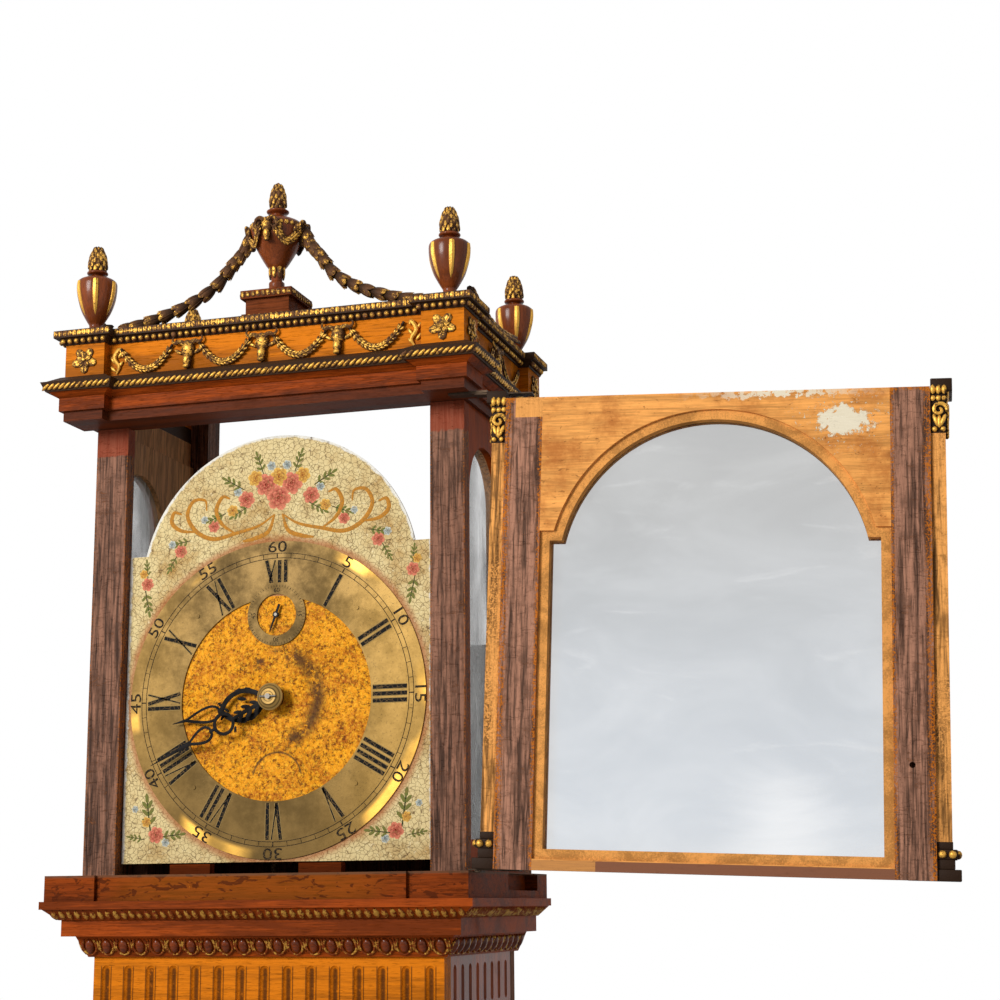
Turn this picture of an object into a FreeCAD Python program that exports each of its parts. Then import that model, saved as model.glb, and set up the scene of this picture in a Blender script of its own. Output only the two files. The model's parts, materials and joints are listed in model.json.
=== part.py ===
import FreeCAD, Part
import math
import os
import re

import PartDesign
import Sketcher

# Longcase clock: case, hood with its door standing open, dial, going train, pendulum and weights.
# Millimetres. X to the right, Y to the back, Z up. The floor is at zero, the case's middle plane at X zero
# and the front of the hood's posts at Y zero.

os.makedirs("parts", exist_ok=True)
doc = FreeCAD.newDocument("longcase_clock")
Vector = FreeCAD.Vector
ACROSS, BACK, UP = Vector(1, 0, 0), Vector(0, 1, 0), Vector(0, 0, 1)

# Driving dimensions, one row each: name, value, meaning.
SIZES = [
    ("face_gap", 0.3, "gap between parts that move past each other"),
    ("running_gap", 0.05, "radial clearance of a running fit"),
    # Plinth and trunk
    ("slab_thick", 22, "base slab thickness"),
    ("skirt_height", 68, "skirting height above the slab"),
    ("skirt_out", 12, "skirting beyond the plinth"),
    ("skirt_top_out", 3, "skirting's top edge beyond the plinth"),
    ("plinth_height", 410, "plinth height above the skirting"),
    ("plinth_out", 41.3, "plinth beyond the trunk"),
    ("plinth_board", 16, "plinth board thickness"),
    ("panel_margin", 58, "plain margin round the plinth's sunk panel"),
    ("panel_depth", 4, "depth of the plinth's sunk panel"),
    ("waist_fillet", 12, "height of the waist moulding's lower fillet"),
    ("waist_hollow", 18, "height of the waist moulding's lower slope"),
    ("waist_neck", 22, "height of the waist moulding's upper slope"),
    ("waist_cap", 8, "height of the waist moulding's upper fillet"),
    ("waist_over", 3.7, "waist moulding's lower fillet beyond the plinth"),
    ("hollow_low", 36, "foot of the lower slope beyond the trunk"),
    ("hollow_middle", 16, "meeting of the two slopes beyond the trunk"),
    ("hollow_high", 7, "head of the upper slope beyond the trunk"),
    ("waist_cap_out", 8, "upper fillet beyond the trunk"),
    ("back_plane", 210, "back of the case behind the posts' front"),
    ("back_board", 15, "backboard thickness"),
    ("back_rise", 66, "top of the backboard above the hands' axis"),
    ("trunk_height", 940, "trunk between the waist moulding and the frieze"),
    ("trunk_half", 168.7, "half the trunk's width"),
    ("trunk_front", 5.8, "trunk front forward of the posts' front"),
    ("trunk_board", 14, "trunk side thickness"),
    ("trunk_frame", 18, "trunk front frame thickness"),
    ("trunk_lap", 60, "length of the trunk inside the plinth"),
    ("frieze_height", 50.4, "visible height of the fluted frieze"),
    ("frieze_bead", 9, "height of the bead under the fluted frieze"),
    ("bead_out", 4, "bead beyond the trunk"),
    ("egg_height", 18.6, "egg and dart moulding height"),
    ("egg_out", 13, "egg and dart moulding's top beyond the trunk"),
    ("fascia_height", 14.5, "plain fascia height"),
    ("fascia_out", 22.6, "fascia beyond the trunk"),
    ("band_height", 9.5, "carved crown band height"),
    ("band_step", 2, "step at both edges of the carved crown band"),
    ("crown_height", 7, "crown fillet height"),
    ("crown_out", 37.8, "crown fillet beyond the trunk"),
    ("flute_radius", 5, "flute radius"),
    ("flute_depth", 2.6, "flute depth"),
    ("flute_pitch", 22.3, "distance between flutes"),
    ("flute_margin", 7, "plain margin above and below a flute"),
    ("flute_start", 11.8, "first side flute behind the front frame"),
    # Trunk door
    ("trunk_stile", 48.7, "trunk front beside the door opening"),
    ("trunk_rail", 60, "trunk front above and below the door opening"),
    ("door_gap", 1.2, "gap round the trunk door"),
    ("lip_wide", 20, "width of the trunk door's lip moulding"),
    ("lip_over", 8, "lip moulding's cover over the frame"),
    ("lip_thick", 6, "lip moulding thickness"),
    ("hinge_inset", 130, "trunk hinge from the opening's end"),
    ("knuckle_radius", 3.6, "hinge knuckle radius"),
    ("knuckle_length", 24, "length of the door's knuckle"),
    ("fixed_knuckle", 17.7, "length of each knuckle on the frame"),
    ("knuckle_clear", 1.4, "gap between the lip and the knuckle"),
    ("hinge_pin", 1.8, "hinge pin radius"),
    ("hinge_leaf", 2, "hinge leaf thickness"),
    ("hinge_foot", 14, "width of the hinge's foot on the frame"),
    ("knob_radius", 7, "door knob radius"),
    ("knob_stalk", 3, "door knob stalk radius"),
    ("knob_reach", 13, "middle of the knob in front of the lip"),
    ("knob_inset", 12, "knob in from the lip's edge"),
    ("knob_plate", 1.5, "knob plate thickness"),
    # Seat of the movement
    ("cheek_board", 14, "seat cheek thickness"),
    ("cheek_front", 40, "front of the seat cheeks"),
    ("seat_clear", 5.5, "great wheel's height over the seat board"),
    ("seat_board_thick", 18, "seat board thickness"),
    ("seat_setback", 20, "seat board's back edge in front of the backboard"),
    ("slot_margin", 10, "room round the line in the seat board"),
    ("rod_slot_half", 22, "half the pendulum's slot in the seat board"),
    ("rod_slot_front", 34, "pendulum's slot in front of the rod"),
    ("bolt_radius", 3, "seat bolt radius"),
    ("bolt_head", 6, "seat bolt head radius"),
    ("bolt_head_thick", 4, "seat bolt head thickness"),
    ("washer_radius", 8, "seat bolt washer radius"),
    ("washer_thick", 8, "seat bolt washer thickness"),
    ("block_gap", 1.5, "gap between the dial and the blocks below it"),
    # Movement frame
    ("plate_half", 62, "half the movement plate's width"),
    ("plate_thick", 3, "movement plate thickness"),
    ("plate_over", 21.8, "movement plate above the pallet arbor"),
    ("front_plate_face", 48, "front of the front plate"),
    ("pillar_length", 60, "distance between the plates"),
    ("pillar_radius", 6, "pillar radius"),
    ("pillar_spread", 50, "pillars from the middle plane"),
    ("pillar_rise", 15, "lower pillars above the seat board"),
    ("pillar_drop", 14, "upper pillars below the plate's top"),
    ("cock_depth", 28, "back cock's face behind the back plate"),
    ("cock_half", 24, "half the back cock's width"),
    ("cock_thick", 5, "back cock thickness"),
    ("cock_leg", 6, "back cock leg thickness"),
    ("cock_low", 12, "back cock below the pallet arbor"),
    ("cock_high", 28, "back cock above the pallet arbor"),
    ("chop_half", 6, "half the suspension chop's width"),
    ("chop_low", 5, "half the suspension chop's height"),
    ("chop_deep", 10, "suspension chop's depth"),
    # Dial and hands
    ("dial_half", 152.5, "half the dial's width"),
    ("dial_rise", 34, "dial's lower edge above the hood's seat"),
    ("dial_square", 289, "dial height up to the arch's shoulders"),
    ("dial_arch", 139.3, "radius of the dial's arch"),
    ("dial_arch_rise", 109, "height of the dial's arch"),
    ("dial_face", 10, "front of the dial plate behind the posts' front"),
    ("dial_thick", 2, "dial plate thickness"),
    ("dial_foot_radius", 3.5, "dial foot radius"),
    ("dial_foot_spread", 52, "dial feet from the middle plane"),
    ("dial_foot_low", 68, "lower dial feet below the hands' axis"),
    ("dial_foot_high", 104, "upper dial feet above the hands' axis"),
    ("hand_hole_gap", 0.7, "radial gap where an arbor passes the dial"),
    ("ring_thick", 1.5, "chapter and seconds ring thickness"),
    ("ring_margin", 5.5, "dial's edge outside the chapter ring"),
    ("ring_wide", 52.5, "chapter ring's radial width"),
    ("seconds_outer", 29, "seconds ring's outer radius"),
    ("seconds_wide", 9.4, "seconds ring's radial width"),
    ("rivet_radius", 2, "chapter ring rivet radius"),
    ("rivet_height", 0.8, "chapter ring rivet height"),
    ("rivet_spread", 80, "rivets from the hands' axis on both axes"),
    ("centre_rise", 148.7, "hands' axis above the dial's lower edge"),
    ("seconds_rise", 77.5, "seconds axis above the hands' axis"),
    ("minute_length", 134, "minute hand length"),
    ("hour_length", 103, "hour hand length"),
    ("second_length", 17, "seconds hand length"),
    ("minute_angle", 243.5, "minute hand clockwise from twelve"),
    ("hour_angle", 258, "hour hand clockwise from twelve"),
    ("second_angle", 200, "seconds hand clockwise from sixty"),
    ("minute_stand", 12, "minute hand's front before the dial"),
    ("hour_stand", 7.5, "hour hand's front before the dial"),
    ("second_stand", 3.6, "seconds hand's front before the dial"),
    ("minute_thick", 1.4, "minute hand thickness"),
    ("hour_thick", 1.3, "hour hand thickness"),
    ("second_thick", 0.8, "seconds hand thickness"),
    ("collet_radius", 12.5, "hand collet radius"),
    ("arbor_stand", 20, "centre arbor's end before the dial"),
    # Going train
    ("great_module", 1.5, "module of the great wheel"),
    ("third_offset", 14.8, "third arbor from the middle plane"),
    ("third_lift", 0.55, "third arbor above the middle of hands and seconds axes"),
    ("motion_distance", 36, "hands' axis to the minute wheel's stud"),
    ("escape_radius", 26, "escape wheel radius"),
    ("anchor_rise", 12, "pallet arbor above the escape wheel's edge"),
    ("great_pivot", 2.5, "great arbor pivot radius"),
    ("great_shaft", 4, "great arbor radius"),
    ("centre_pivot", 2.5, "centre arbor pivot radius"),
    ("centre_shaft", 3.2, "centre arbor radius"),
    ("third_pivot", 1.5, "third arbor pivot radius"),
    ("third_shaft", 2.2, "third arbor radius"),
    ("escape_pivot", 1.5, "escape arbor pivot radius"),
    ("escape_shaft", 1.9, "escape arbor radius"),
    ("pallet_pivot", 1.5, "pallet arbor pivot radius"),
    ("pallet_shaft", 2.1, "pallet arbor radius"),
    ("stud_radius", 2, "minute wheel stud radius"),
    ("cannon_radius", 4, "cannon pipe radius"),
    ("hour_pipe", 5.6, "hour pipe radius"),
    # Pendulum, line and weights
    ("pendulum_behind", 38, "pendulum behind the back plate"),
    ("pendulum_length", 994, "suspension to the middle of the bob"),
    ("rod_radius", 3, "pendulum rod radius"),
    ("fork_gap", 0.6, "crutch fork's gap beside the rod"),
    ("crutch_length", 95, "crutch length"),
    ("spring_length", 30, "suspension spring length"),
    ("bob_radius", 75, "bob radius"),
    ("bob_thick", 26, "bob thickness"),
    ("nut_radius", 10, "rating nut radius"),
    ("nut_height", 11, "rating nut height"),
    ("rod_tail", 32, "rod below the bob"),
    ("rope_radius", 2.5, "driving line radius"),
    ("rope_behind", 30, "driving line behind the front plate"),
    ("sprocket_pitch", 30, "radius of the line round the sprocket"),
    ("sprocket_half", 11, "half the sprocket's width"),
    ("flange_out", 6, "sprocket flange beyond the line"),
    ("flange_thick", 5, "sprocket flange thickness"),
    ("weight_low", 15, "run-down driving weight above the waist moulding"),
    ("weight_length", 170, "driving weight length"),
    ("weight_radius", 27, "driving weight radius"),
    ("counter_drop", 40, "counterweight's underside below the hood's seat"),
    ("counter_length", 36, "counterweight length"),
    ("counter_radius", 10, "counterweight radius"),
    ("eye_length", 18, "neck above a weight"),
    ("eye_radius", 3, "radius of the neck above a weight"),
    # Hood
    ("rail_height", 23, "hood base rail height"),
    ("rail_out", 33.7, "hood base beyond the trunk"),
    ("rail_front", 42, "hood base forward of the posts' front"),
    ("rail_back", 10, "front rail's back forward of the posts' front"),
    ("hood_gap", 1.3, "gap between the hood and the seat cheeks"),
    ("groove_inset", 50.4, "groove in the front rail in from the rail's end"),
    ("groove_wide", 6, "groove width"),
    ("groove_depth", 4, "groove depth"),
    ("recess_start", 78, "front of the side rail's recess behind the posts' front"),
    ("recess_length", 98, "length of the side rail's recess"),
    ("recess_depth", 12, "depth of the side rail's recess"),
    ("recess_rise", 7, "side rail below the recess"),
    ("recess_lid", 1, "side rail above the recess"),
    ("dial_gap", 1.5, "least gap between the dial and the posts"),
    ("post_seat", 31, "least reach of the posts' outer face beyond the side rail's inner face"),
    ("post_height", 426, "post height"),
    ("post_wide", 33, "post width"),
    ("post_deep", 14, "front post depth"),
    ("rear_post_deep", 28, "rear post depth"),
    ("side_board", 15, "hood side panel thickness"),
    ("window_margin", 1, "side panel in front of its window"),
    ("window_radius", 50, "radius of the side window's head"),
    ("window_head", 32, "side window's crown below the architrave"),
    ("window_sill", 28, "side window's sill above the base rail"),
    ("pane_thick", 2.5, "glass thickness"),
    ("pane_setback", 5, "side glass in from the panel's inner face"),
    ("architrave_low", 9.4, "height of the architrave's first step"),
    ("architrave_middle", 13.1, "height of the architrave's second step"),
    ("architrave_high", 4.5, "height of the architrave's cove"),
    ("rope_low", 9, "height of the rope moulding's lower half"),
    ("rope_high", 7, "height of the rope moulding's upper half"),
    ("head_frieze", 32, "hood frieze height"),
    ("pearl_height", 6, "height of the pearl moulding over the frieze"),
    ("cap_height", 7, "height of the hood's top fillet"),
    ("step_out", 3.5, "architrave's second step beyond the frieze"),
    ("cove_low_out", 4.5, "foot of the architrave's cove beyond the frieze"),
    ("cove_high_out", 11, "head of the architrave's cove beyond the frieze"),
    ("rope_low_out", 13, "foot of the rope moulding beyond the frieze"),
    ("rope_out", 17, "tip of the rope moulding beyond the frieze"),
    ("rope_turn_out", 15, "start of the rope moulding's upper half beyond the frieze"),
    ("rope_high_out", 3, "head of the rope moulding beyond the frieze"),
    ("pearl_low_out", 1, "foot of the pearl moulding beyond the frieze"),
    ("pearl_high_out", 5, "head of the pearl moulding beyond the frieze"),
    ("cap_out", 9, "top fillet beyond the frieze"),
    ("frieze_over", 4, "hood frieze beyond the posts"),
    ("main_front", 33, "hood frieze forward of the posts' front"),
    ("block_out", 10, "corner block beyond the frieze"),
    ("block_wide", 41, "corner block width"),
    ("head_board", 15, "thickness of the hood head's sides"),
    ("hollow_front", 10, "inner front of the hood head behind the posts' front"),
    ("urn_inset", 20, "corner urn axis in from the block's face"),
    ("corner_urn_radius", 21, "corner urn radius"),
    ("corner_urn_height", 92, "corner urn height"),
    ("centre_urn_radius", 28, "centre urn radius"),
    ("centre_urn_height", 115, "centre urn height"),
    ("pedestal_half", 22, "half the urn pedestal's width"),
    ("pedestal_forward", 3, "urn pedestal's middle forward of the posts' front"),
    ("pedestal_height", 29, "urn pedestal height"),
    ("pedestal_foot", 6, "height of the pedestal's foot"),
    ("pedestal_foot_out", 3, "pedestal's foot beyond its die"),
    ("pedestal_cap", 8, "height of the pedestal's cap"),
    ("pedestal_cap_out", 4, "pedestal's cap beyond its die"),
    ("garland_radius", 5.5, "leaf garland radius"),
    ("swag_radius", 3.2, "frieze swag radius"),
    ("head_wide", 9, "half the width of a frieze head"),
    ("head_deep", 7, "frieze head's depth"),
    ("head_tall", 13, "half the height of a frieze head"),
    ("rosette_radius", 11.5, "rosette radius"),
    ("rosette_thick", 3, "rosette thickness"),
    # Hood door
    ("door_inner_face", 1, "hood door's inner face forward of the posts when shut"),
    ("door_thick", 22, "hood door thickness"),
    ("door_head_gap", 11.5, "hood door's top below the architrave"),
    ("stile_back", 2.5, "hood door's edge in from the post's outer face"),
    ("stile_wide", 33.5, "hood door stile width"),
    ("bottom_rail", 9.5, "hood door bottom rail height"),
    ("crown_rail", 15, "hood door above its arch"),
    ("door_arch", 143.5, "radius of the hood door's arch"),
    ("door_arch_rise", 105.5, "height of the hood door's arch above its ears"),
    ("top_rail_lap", 14, "top rail below the arch's ears"),
    ("bead_wide", 8.5, "glazing bead width"),
    ("bead_setback", 3, "glazing bead in from the door's inner face"),
    ("lip_deep", 6, "thickness of the lip in front of the glass"),
    ("lock_rise", 93, "lock hole above the door's foot"),
    ("lock_inset", 15, "lock hole from the stile's inner edge"),
    ("lock_radius", 2.5, "lock hole radius"),
    ("lock_depth", 9, "lock hole depth"),
    ("pilaster_over", 10, "pilaster beyond the post's outer face"),
    ("pilaster_wide", 33, "pilaster width"),
    ("pilaster_front", 38, "pilaster forward of the posts' front"),
    ("pilaster_back", 4, "back of the pilaster's side forward of the posts' front"),
    ("capital_height", 48, "capital height"),
    ("base_height", 31.4, "pilaster base height"),
    ("carving_out", 8, "capital and base beyond the pilaster"),
    ("neck_ring", 5, "height of the ring under the capital"),
    ("abacus", 12, "height of the capital's top block"),
    ("base_plinth", 9, "height of the pilaster base's lowest block"),
    ("base_torus", 9, "height of the pilaster base's round"),
    ("base_fillet", 3, "height of the pilaster base's top fillet"),
    ("hinge_out", 0.6, "hinge line beyond the base rail"),
    ("hinge_forward", 21, "hinge line forward of the posts' front"),
    ("hinge_datum", 11, "height above the hood's seat where that distance is taken"),
    ("door_lean", 1.08, "outward lean of the hinge line in degrees"),
    ("door_swing", 184, "opening of the hood door in degrees"),
    ("strap_thick", 1.2, "hinge strap thickness"),
    ("strap_clear", 0.4, "gap between hinge strap and hinge leaf"),
    ("strap_wide", 12, "hinge strap width"),
    ("strap_reach", 6, "hinge strap beyond the hinge line"),
    ("leaf_hold", 22, "hinge leaf let into the hood"),
    ("leaf_thick", 1.5, "lower hinge leaf thickness"),
    ("upper_leaf", 2.2, "upper hinge leaf thickness"),
    ("pivot_radius", 2, "hood door pivot radius"),
]
GREAT_TEETH, CENTRE_LEAVES = 60, 12
CENTRE_TEETH, THIRD_LEAVES = 60, 8
THIRD_TEETH, ESCAPE_LEAVES, ESCAPE_TEETH = 56, 7, 30
CANNON_TEETH, MINUTE_TEETH, MINUTE_LEAVES, HOUR_TEETH = 24, 72, 18, 72
# Tooth outlines: addendum and dedendum in modules, half widths in pitches at root, pitch circle and tip.
WHEEL_TOOTH = (0.8, 1.2, 0.30, 0.20, 0.07)
LEAF = (0.6, 1.3, 0.20, 0.17, 0.07)
great_mesh = (GREAT_TEETH + CENTRE_LEAVES) / 2
great_tip = GREAT_TEETH / 2 + WHEEL_TOOTH[0]

# Levels and widths that follow from the driving dimensions.
DERIVED = {
    "plinth_base": "slab_thick + skirt_height",
    "plinth_top": "plinth_base + plinth_height",
    "plinth_half": "trunk_half + plinth_out",
    "plinth_front": "trunk_front + plinth_out",
    "waist_top": "plinth_top + waist_fillet + waist_hollow + waist_neck + waist_cap",
    "frieze_base": "waist_top + trunk_height",
    "frieze_top": "frieze_base + frieze_height",
    "fascia_base": "frieze_top + egg_height",
    "fascia_top": "fascia_base + fascia_height",
    "band_top": "fascia_top + band_height",
    "crown_top": "band_top + crown_height",
    "opening_half": "trunk_half - trunk_stile",
    "opening_base": "waist_top + trunk_rail",
    "opening_top": "frieze_base - trunk_rail",
    "dial_base": "crown_top + dial_rise",
    "dial_shoulder": "dial_base + dial_square",
    "dial_crown": "dial_shoulder + dial_arch_rise",
    "ring_outer": "dial_half - ring_margin",
    "centre_height": "dial_base + centre_rise",
    "seconds_height": "centre_height + seconds_rise",
    "pallet_height": "seconds_height + escape_radius + anchor_rise",
    "great_height": "centre_height - great_module * %s" % great_mesh,
    "seat_top": "great_height - great_module * %s - seat_clear" % great_tip,
    "plate_top": "pallet_height + plate_over",
    "front_plate_back": "front_plate_face + plate_thick",
    "back_plate_face": "front_plate_back + pillar_length",
    "back_plate_back": "back_plate_face + plate_thick",
    "rope_plane": "front_plate_back + rope_behind",
    "pendulum_plane": "back_plate_back + pendulum_behind",
    "weight_base": "waist_top + weight_low",
    "counter_base": "crown_top - counter_drop",
    "rail_top": "crown_top + rail_height",
    "rail_half": "trunk_half + rail_out",
    "rail_inner": "trunk_half - trunk_board + hood_gap",
    "post_outer": "max(dial_half + dial_gap + post_wide; rail_inner + post_seat)",
    "post_inner": "post_outer - post_wide",
    "soffit": "rail_top + post_height",
    "window_middle": "post_deep + window_margin + window_radius",
    "window_base": "rail_top + window_sill",
    "window_crown": "soffit - window_head",
    "rope_base": "soffit + architrave_low + architrave_middle + architrave_high",
    "frieze_low": "rope_base + rope_low + rope_high",
    "frieze_high": "frieze_low + head_frieze",
    "roof_top": "frieze_high + pearl_height + cap_height",
    "pedestal_top": "roof_top + pedestal_height",
    "main_half": "post_outer + frieze_over",
    "hollow_half": "main_half - head_board",
    "door_base": "rail_top + strap_thick + strap_clear",
    "door_top": "soffit - door_head_gap",
    "door_crown": "door_top - crown_rail",
    "door_spring": "door_crown - door_arch_rise",
    "stile_outer": "post_outer - stile_back",
    "stile_inner": "stile_outer - stile_wide",
    "pilaster_outer": "post_outer + pilaster_over",
    "pilaster_inner": "pilaster_outer - pilaster_wide",
    "capital_top": "soffit - upper_leaf - strap_clear - strap_thick",
    "capital_base": "capital_top - capital_height",
    "base_top": "door_base + base_height",
    "door_axis": "rail_half + hinge_out",
    "door_datum": "crown_top + hinge_datum",
}
size = doc.addObject("Spreadsheet::Sheet", "size")
for row, (alias, number, meaning) in enumerate(SIZES, 1):
    size.set("A%d" % row, meaning)
    size.set("B%d" % row, str(number))
    size.setAlias("B%d" % row, alias)
doc.recompute()
NAMES = {alias for alias, number, meaning in SIZES}
nodes = []


# A formula in the names above, written out as references to the sheet.
def bound(text):
    def word(match):
        name = match.group()
        if name in DERIVED:
            return "(%s)" % bound(DERIVED[name])
        return "size." + name if name in NAMES else name
    return re.sub(r"[a-z]+(?:_[a-z]+)*", word, str(text))


def val(text):
    return float(size.evalExpression(bound(text)))


def bind(item, **properties):
    for name, text in properties.items():
        item.setExpression(name.replace("__", "."), bound(text))
    return item


def locate(item, x=0, y=0, z=0):
    return bind(item, Placement__Base__x=x, Placement__Base__y=y, Placement__Base__z=z)


def turned_to(item, axis, degrees):
    item.Placement = FreeCAD.Placement(Vector(), FreeCAD.Rotation(axis, degrees))
    return item


def span(ends):
    return "(%s) - (%s)" % (ends[1], ends[0])


def minus(text):
    return "-(%s)" % text


def mirrored_range(ends):
    return minus(ends[1]), minus(ends[0])


# The same range made longer by one millimetre at both ends, for cutting right through.
def past(ends):
    return "%s - 1" % ends[0], "%s + 1" % ends[1]


# A box from a low and a high value on each axis.
def box(x, y, z):
    item = doc.addObject("Part::Box")
    bind(item, Length=span(x), Width=span(y), Height=span(z))
    return locate(item, x[0], y[0], z[0])


# A box on either side of the middle plane.
def wide(half, y, z):
    return box((minus(half), half), y, z)


# A straight-sided solid between a rectangle at the bottom and one at the top.
def wedge(x, y, x_top, y_top, z):
    item = turned_to(doc.addObject("Part::Wedge"), ACROSS, 90)
    bind(item, Xmin=x[0], Xmax=x[1], X2min=x_top[0], X2max=x_top[1], Ymin=0, Ymax=span(z))
    bind(item, Zmin=minus(y[1]), Zmax=minus(y[0]), Z2min=minus(y_top[1]), Z2max=minus(y_top[0]))
    return locate(item, 0, 0, z[0])


def round_bar(axis, radius, ends, first, second):
    item = doc.addObject("Part::Cylinder")
    bind(item, Radius=radius, Height=span(ends))
    if axis == "x":
        return locate(turned_to(item, BACK, 90), ends[0], first, second)
    if axis == "y":
        return locate(turned_to(item, ACROSS, -90), first, ends[0], second)
    return locate(item, first, second, ends[0])


def ball(radius, x, y, z):
    return locate(bind(doc.addObject("Part::Sphere"), Radius=radius), x, y, z)


def fuse(*items):
    if len(items) == 1:
        return items[0]
    item = doc.addObject("Part::MultiFuse")
    item.Shapes = list(items)
    item.Refine = True
    return item


def cut(base, *tools):
    item = doc.addObject("Part::Cut")
    item.Base = base
    item.Tool = fuse(*tools)
    return item


def common(first, second):
    item = doc.addObject("Part::Common")
    item.Base = first
    item.Tool = second
    return item


def group(*items):
    item = doc.addObject("Part::Compound")
    item.Links = list(items)
    return item


def mirror(source):
    item = doc.addObject("Part::Mirroring")
    item.Source = source
    item.Normal = ACROSS
    return item


def pair(item):
    return group(item, mirror(item))


def node(label, item):
    item.Label = label
    nodes.append(item)
    return item


def coded(label, shape):
    item = doc.addObject("Part::Feature")
    item.Shape = shape
    return node(label, item)


# Hold one coordinate of a sketch's point at a share of a named measure, or on the axis.
def hold(sketch, kind, axis, point, share, measure):
    if share == 0:
        sketch.addConstraint(Sketcher.Constraint("PointOnObject", point, 1, axis))
        return
    index = sketch.addConstraint(Sketcher.Constraint(kind, -1, 1, point, 1, share * val(measure)))
    sketch.setExpression("Constraints[%d]" % index, bound("%s * %s" % (share, measure)))


# A turned piece: its outline as shares of its greatest radius and of its height.
def turned(outline, radius, height, x, y, z):
    body = doc.addObject("PartDesign::Body")
    plane = next(f for f in body.Origin.OriginFeatures if f.Role == "XZ_Plane")
    sketch = body.newObject("Sketcher::SketchObject")
    sketch.AttachmentSupport = [(plane, "")]
    sketch.MapMode = "FlatFace"
    corners = [Vector(r * val(radius), t * val(height), 0) for r, t in outline]
    count = len(corners)
    for i in range(count):
        sketch.addGeometry(Part.LineSegment(corners[i], corners[(i + 1) % count]))
    for i in range(count):
        sketch.addConstraint(Sketcher.Constraint("Coincident", i, 2, (i + 1) % count, 1))
        hold(sketch, "DistanceX", -2, i, outline[i][0], radius)
        hold(sketch, "DistanceY", -1, i, outline[i][1], height)
    solid = body.newObject("PartDesign::Revolution")
    solid.Profile = sketch
    solid.ReferenceAxis = (sketch, ["V_Axis"])
    solid.Angle = 360
    return locate(body, x, y, z)


# A flat outline in the XZ plane, made solid from one Y to another.
def plate(points, start, end):
    corners = [Vector(x, start, z) for x, z in points]
    return Part.Face(Part.makePolygon(corners + corners[:1])).extrude(BACK * (end - start))


# A round bar along Y.
def bar(radius, start, end, x, z):
    return Part.makeCylinder(radius, end - start, Vector(x, start, z), BACK)


# A box about a middle X, between two values on the other axes.
def block(middle, half, y, z):
    return Part.makeBox(2 * half, y[1] - y[0], z[1] - z[0], Vector(middle - half, y[0], z[0]))


# A round stem along a smooth line.
def stem(points, radius):
    curve = Part.BSplineCurve()
    curve.interpolate([Vector(*p) for p in points])
    path = Part.Wire(curve.toShape())
    ring = Part.Wire(Part.makeCircle(radius, curve.value(0), curve.tangent(0)[0]))
    return path.makePipeShell([ring], True, False)


def join(*shapes):
    return shapes[0].multiFuse(list(shapes[1:])).removeSplitter()


# A course round the front and sides of the case, sloped between its lower and upper edge.
def ring_piece(half, front, half_top, front_top, z):
    low, high = (minus(half), half), (minus(half_top), half_top)
    return wedge(low, (minus(front), "back_plane"), high, (minus(front_top), "back_plane"), z)


# The same, given by how far it stands out from the trunk.
def trunk_course(low, high, z):
    half, front = "trunk_half + %s", "trunk_front + %s"
    return ring_piece(half % low, front % low, half % high, front % high, z)


# The space inside a course.
def bore(half, front, z):
    return wide(half, (minus(front), "back_plane + 1"), past(z))


# Plinth: base slab with skirting, boards, and the backboard.
base_half, base_front = "plinth_half + skirt_out", "plinth_front + skirt_out"
slab = wide(base_half, (minus(base_front), "back_plane"), ("0", "slab_thick"))
skirt_z = ("slab_thick", "plinth_base")
skirt_top = ("plinth_half + skirt_top_out", "plinth_front + skirt_top_out")
skirt = ring_piece(base_half, base_front, *skirt_top, skirt_z)
skirt = cut(skirt, bore("plinth_half", "plinth_front", skirt_z))
node("plinth_base", group(slab, skirt))

plinth_z = ("slab_thick", "plinth_top")
front = wide("plinth_half", ("-plinth_front", "plinth_board - plinth_front"), plinth_z)
panel_z = ("plinth_base + panel_margin", "plinth_top - panel_margin")
sunk = wide("plinth_half - panel_margin", ("-plinth_front - 1", "panel_depth - plinth_front"), panel_z)
side_y = ("plinth_board - plinth_front", "back_plane - back_board")
side = box(("plinth_half - plinth_board", "plinth_half"), side_y, plinth_z)
node("plinth_carcass", group(cut(front, sunk), pair(side)))

back_y = ("back_plane - back_board", "back_plane")
low_back = wide("plinth_half", back_y, plinth_z)
trunk_back = wide("trunk_half", back_y, ("plinth_top", "crown_top"))
hood_back = wide("rail_inner - 4", back_y, ("crown_top", "centre_height + back_rise"))
node("backboard", fuse(low_back, trunk_back, hood_back))

# Waist moulding: fillet, hollow in two slopes, upper fillet.
waist_steps = [
    ("plinth_out + waist_over", "plinth_out + waist_over", "waist_fillet"),
    ("hollow_low", "hollow_middle", "waist_hollow"),
    ("hollow_middle", "hollow_high", "waist_neck"),
    ("waist_cap_out", "waist_cap_out", "waist_cap"),
]
waist = []
level = "plinth_top"
for low, high, rise in waist_steps:
    waist.append(trunk_course(low, high, (level, level + " + " + rise)))
    level = level + " + " + rise
node("waist_moulding", cut(fuse(*waist), bore("trunk_half", "trunk_front", ("plinth_top", "waist_top"))))

# Trunk: fluted sides, front frame round the door, fluted frieze and the crown mouldings.
flute_low = "frieze_base + flute_margin + flute_radius"
flute_high = "frieze_top - flute_margin - flute_radius"
flute_in = "(flute_radius - flute_depth)"


def flute(x, y):
    shaft = round_bar("z", "flute_radius", (flute_low, flute_high), x, y)
    return [shaft, ball("flute_radius", x, y, flute_low), ball("flute_radius", x, y, flute_high)]


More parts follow.
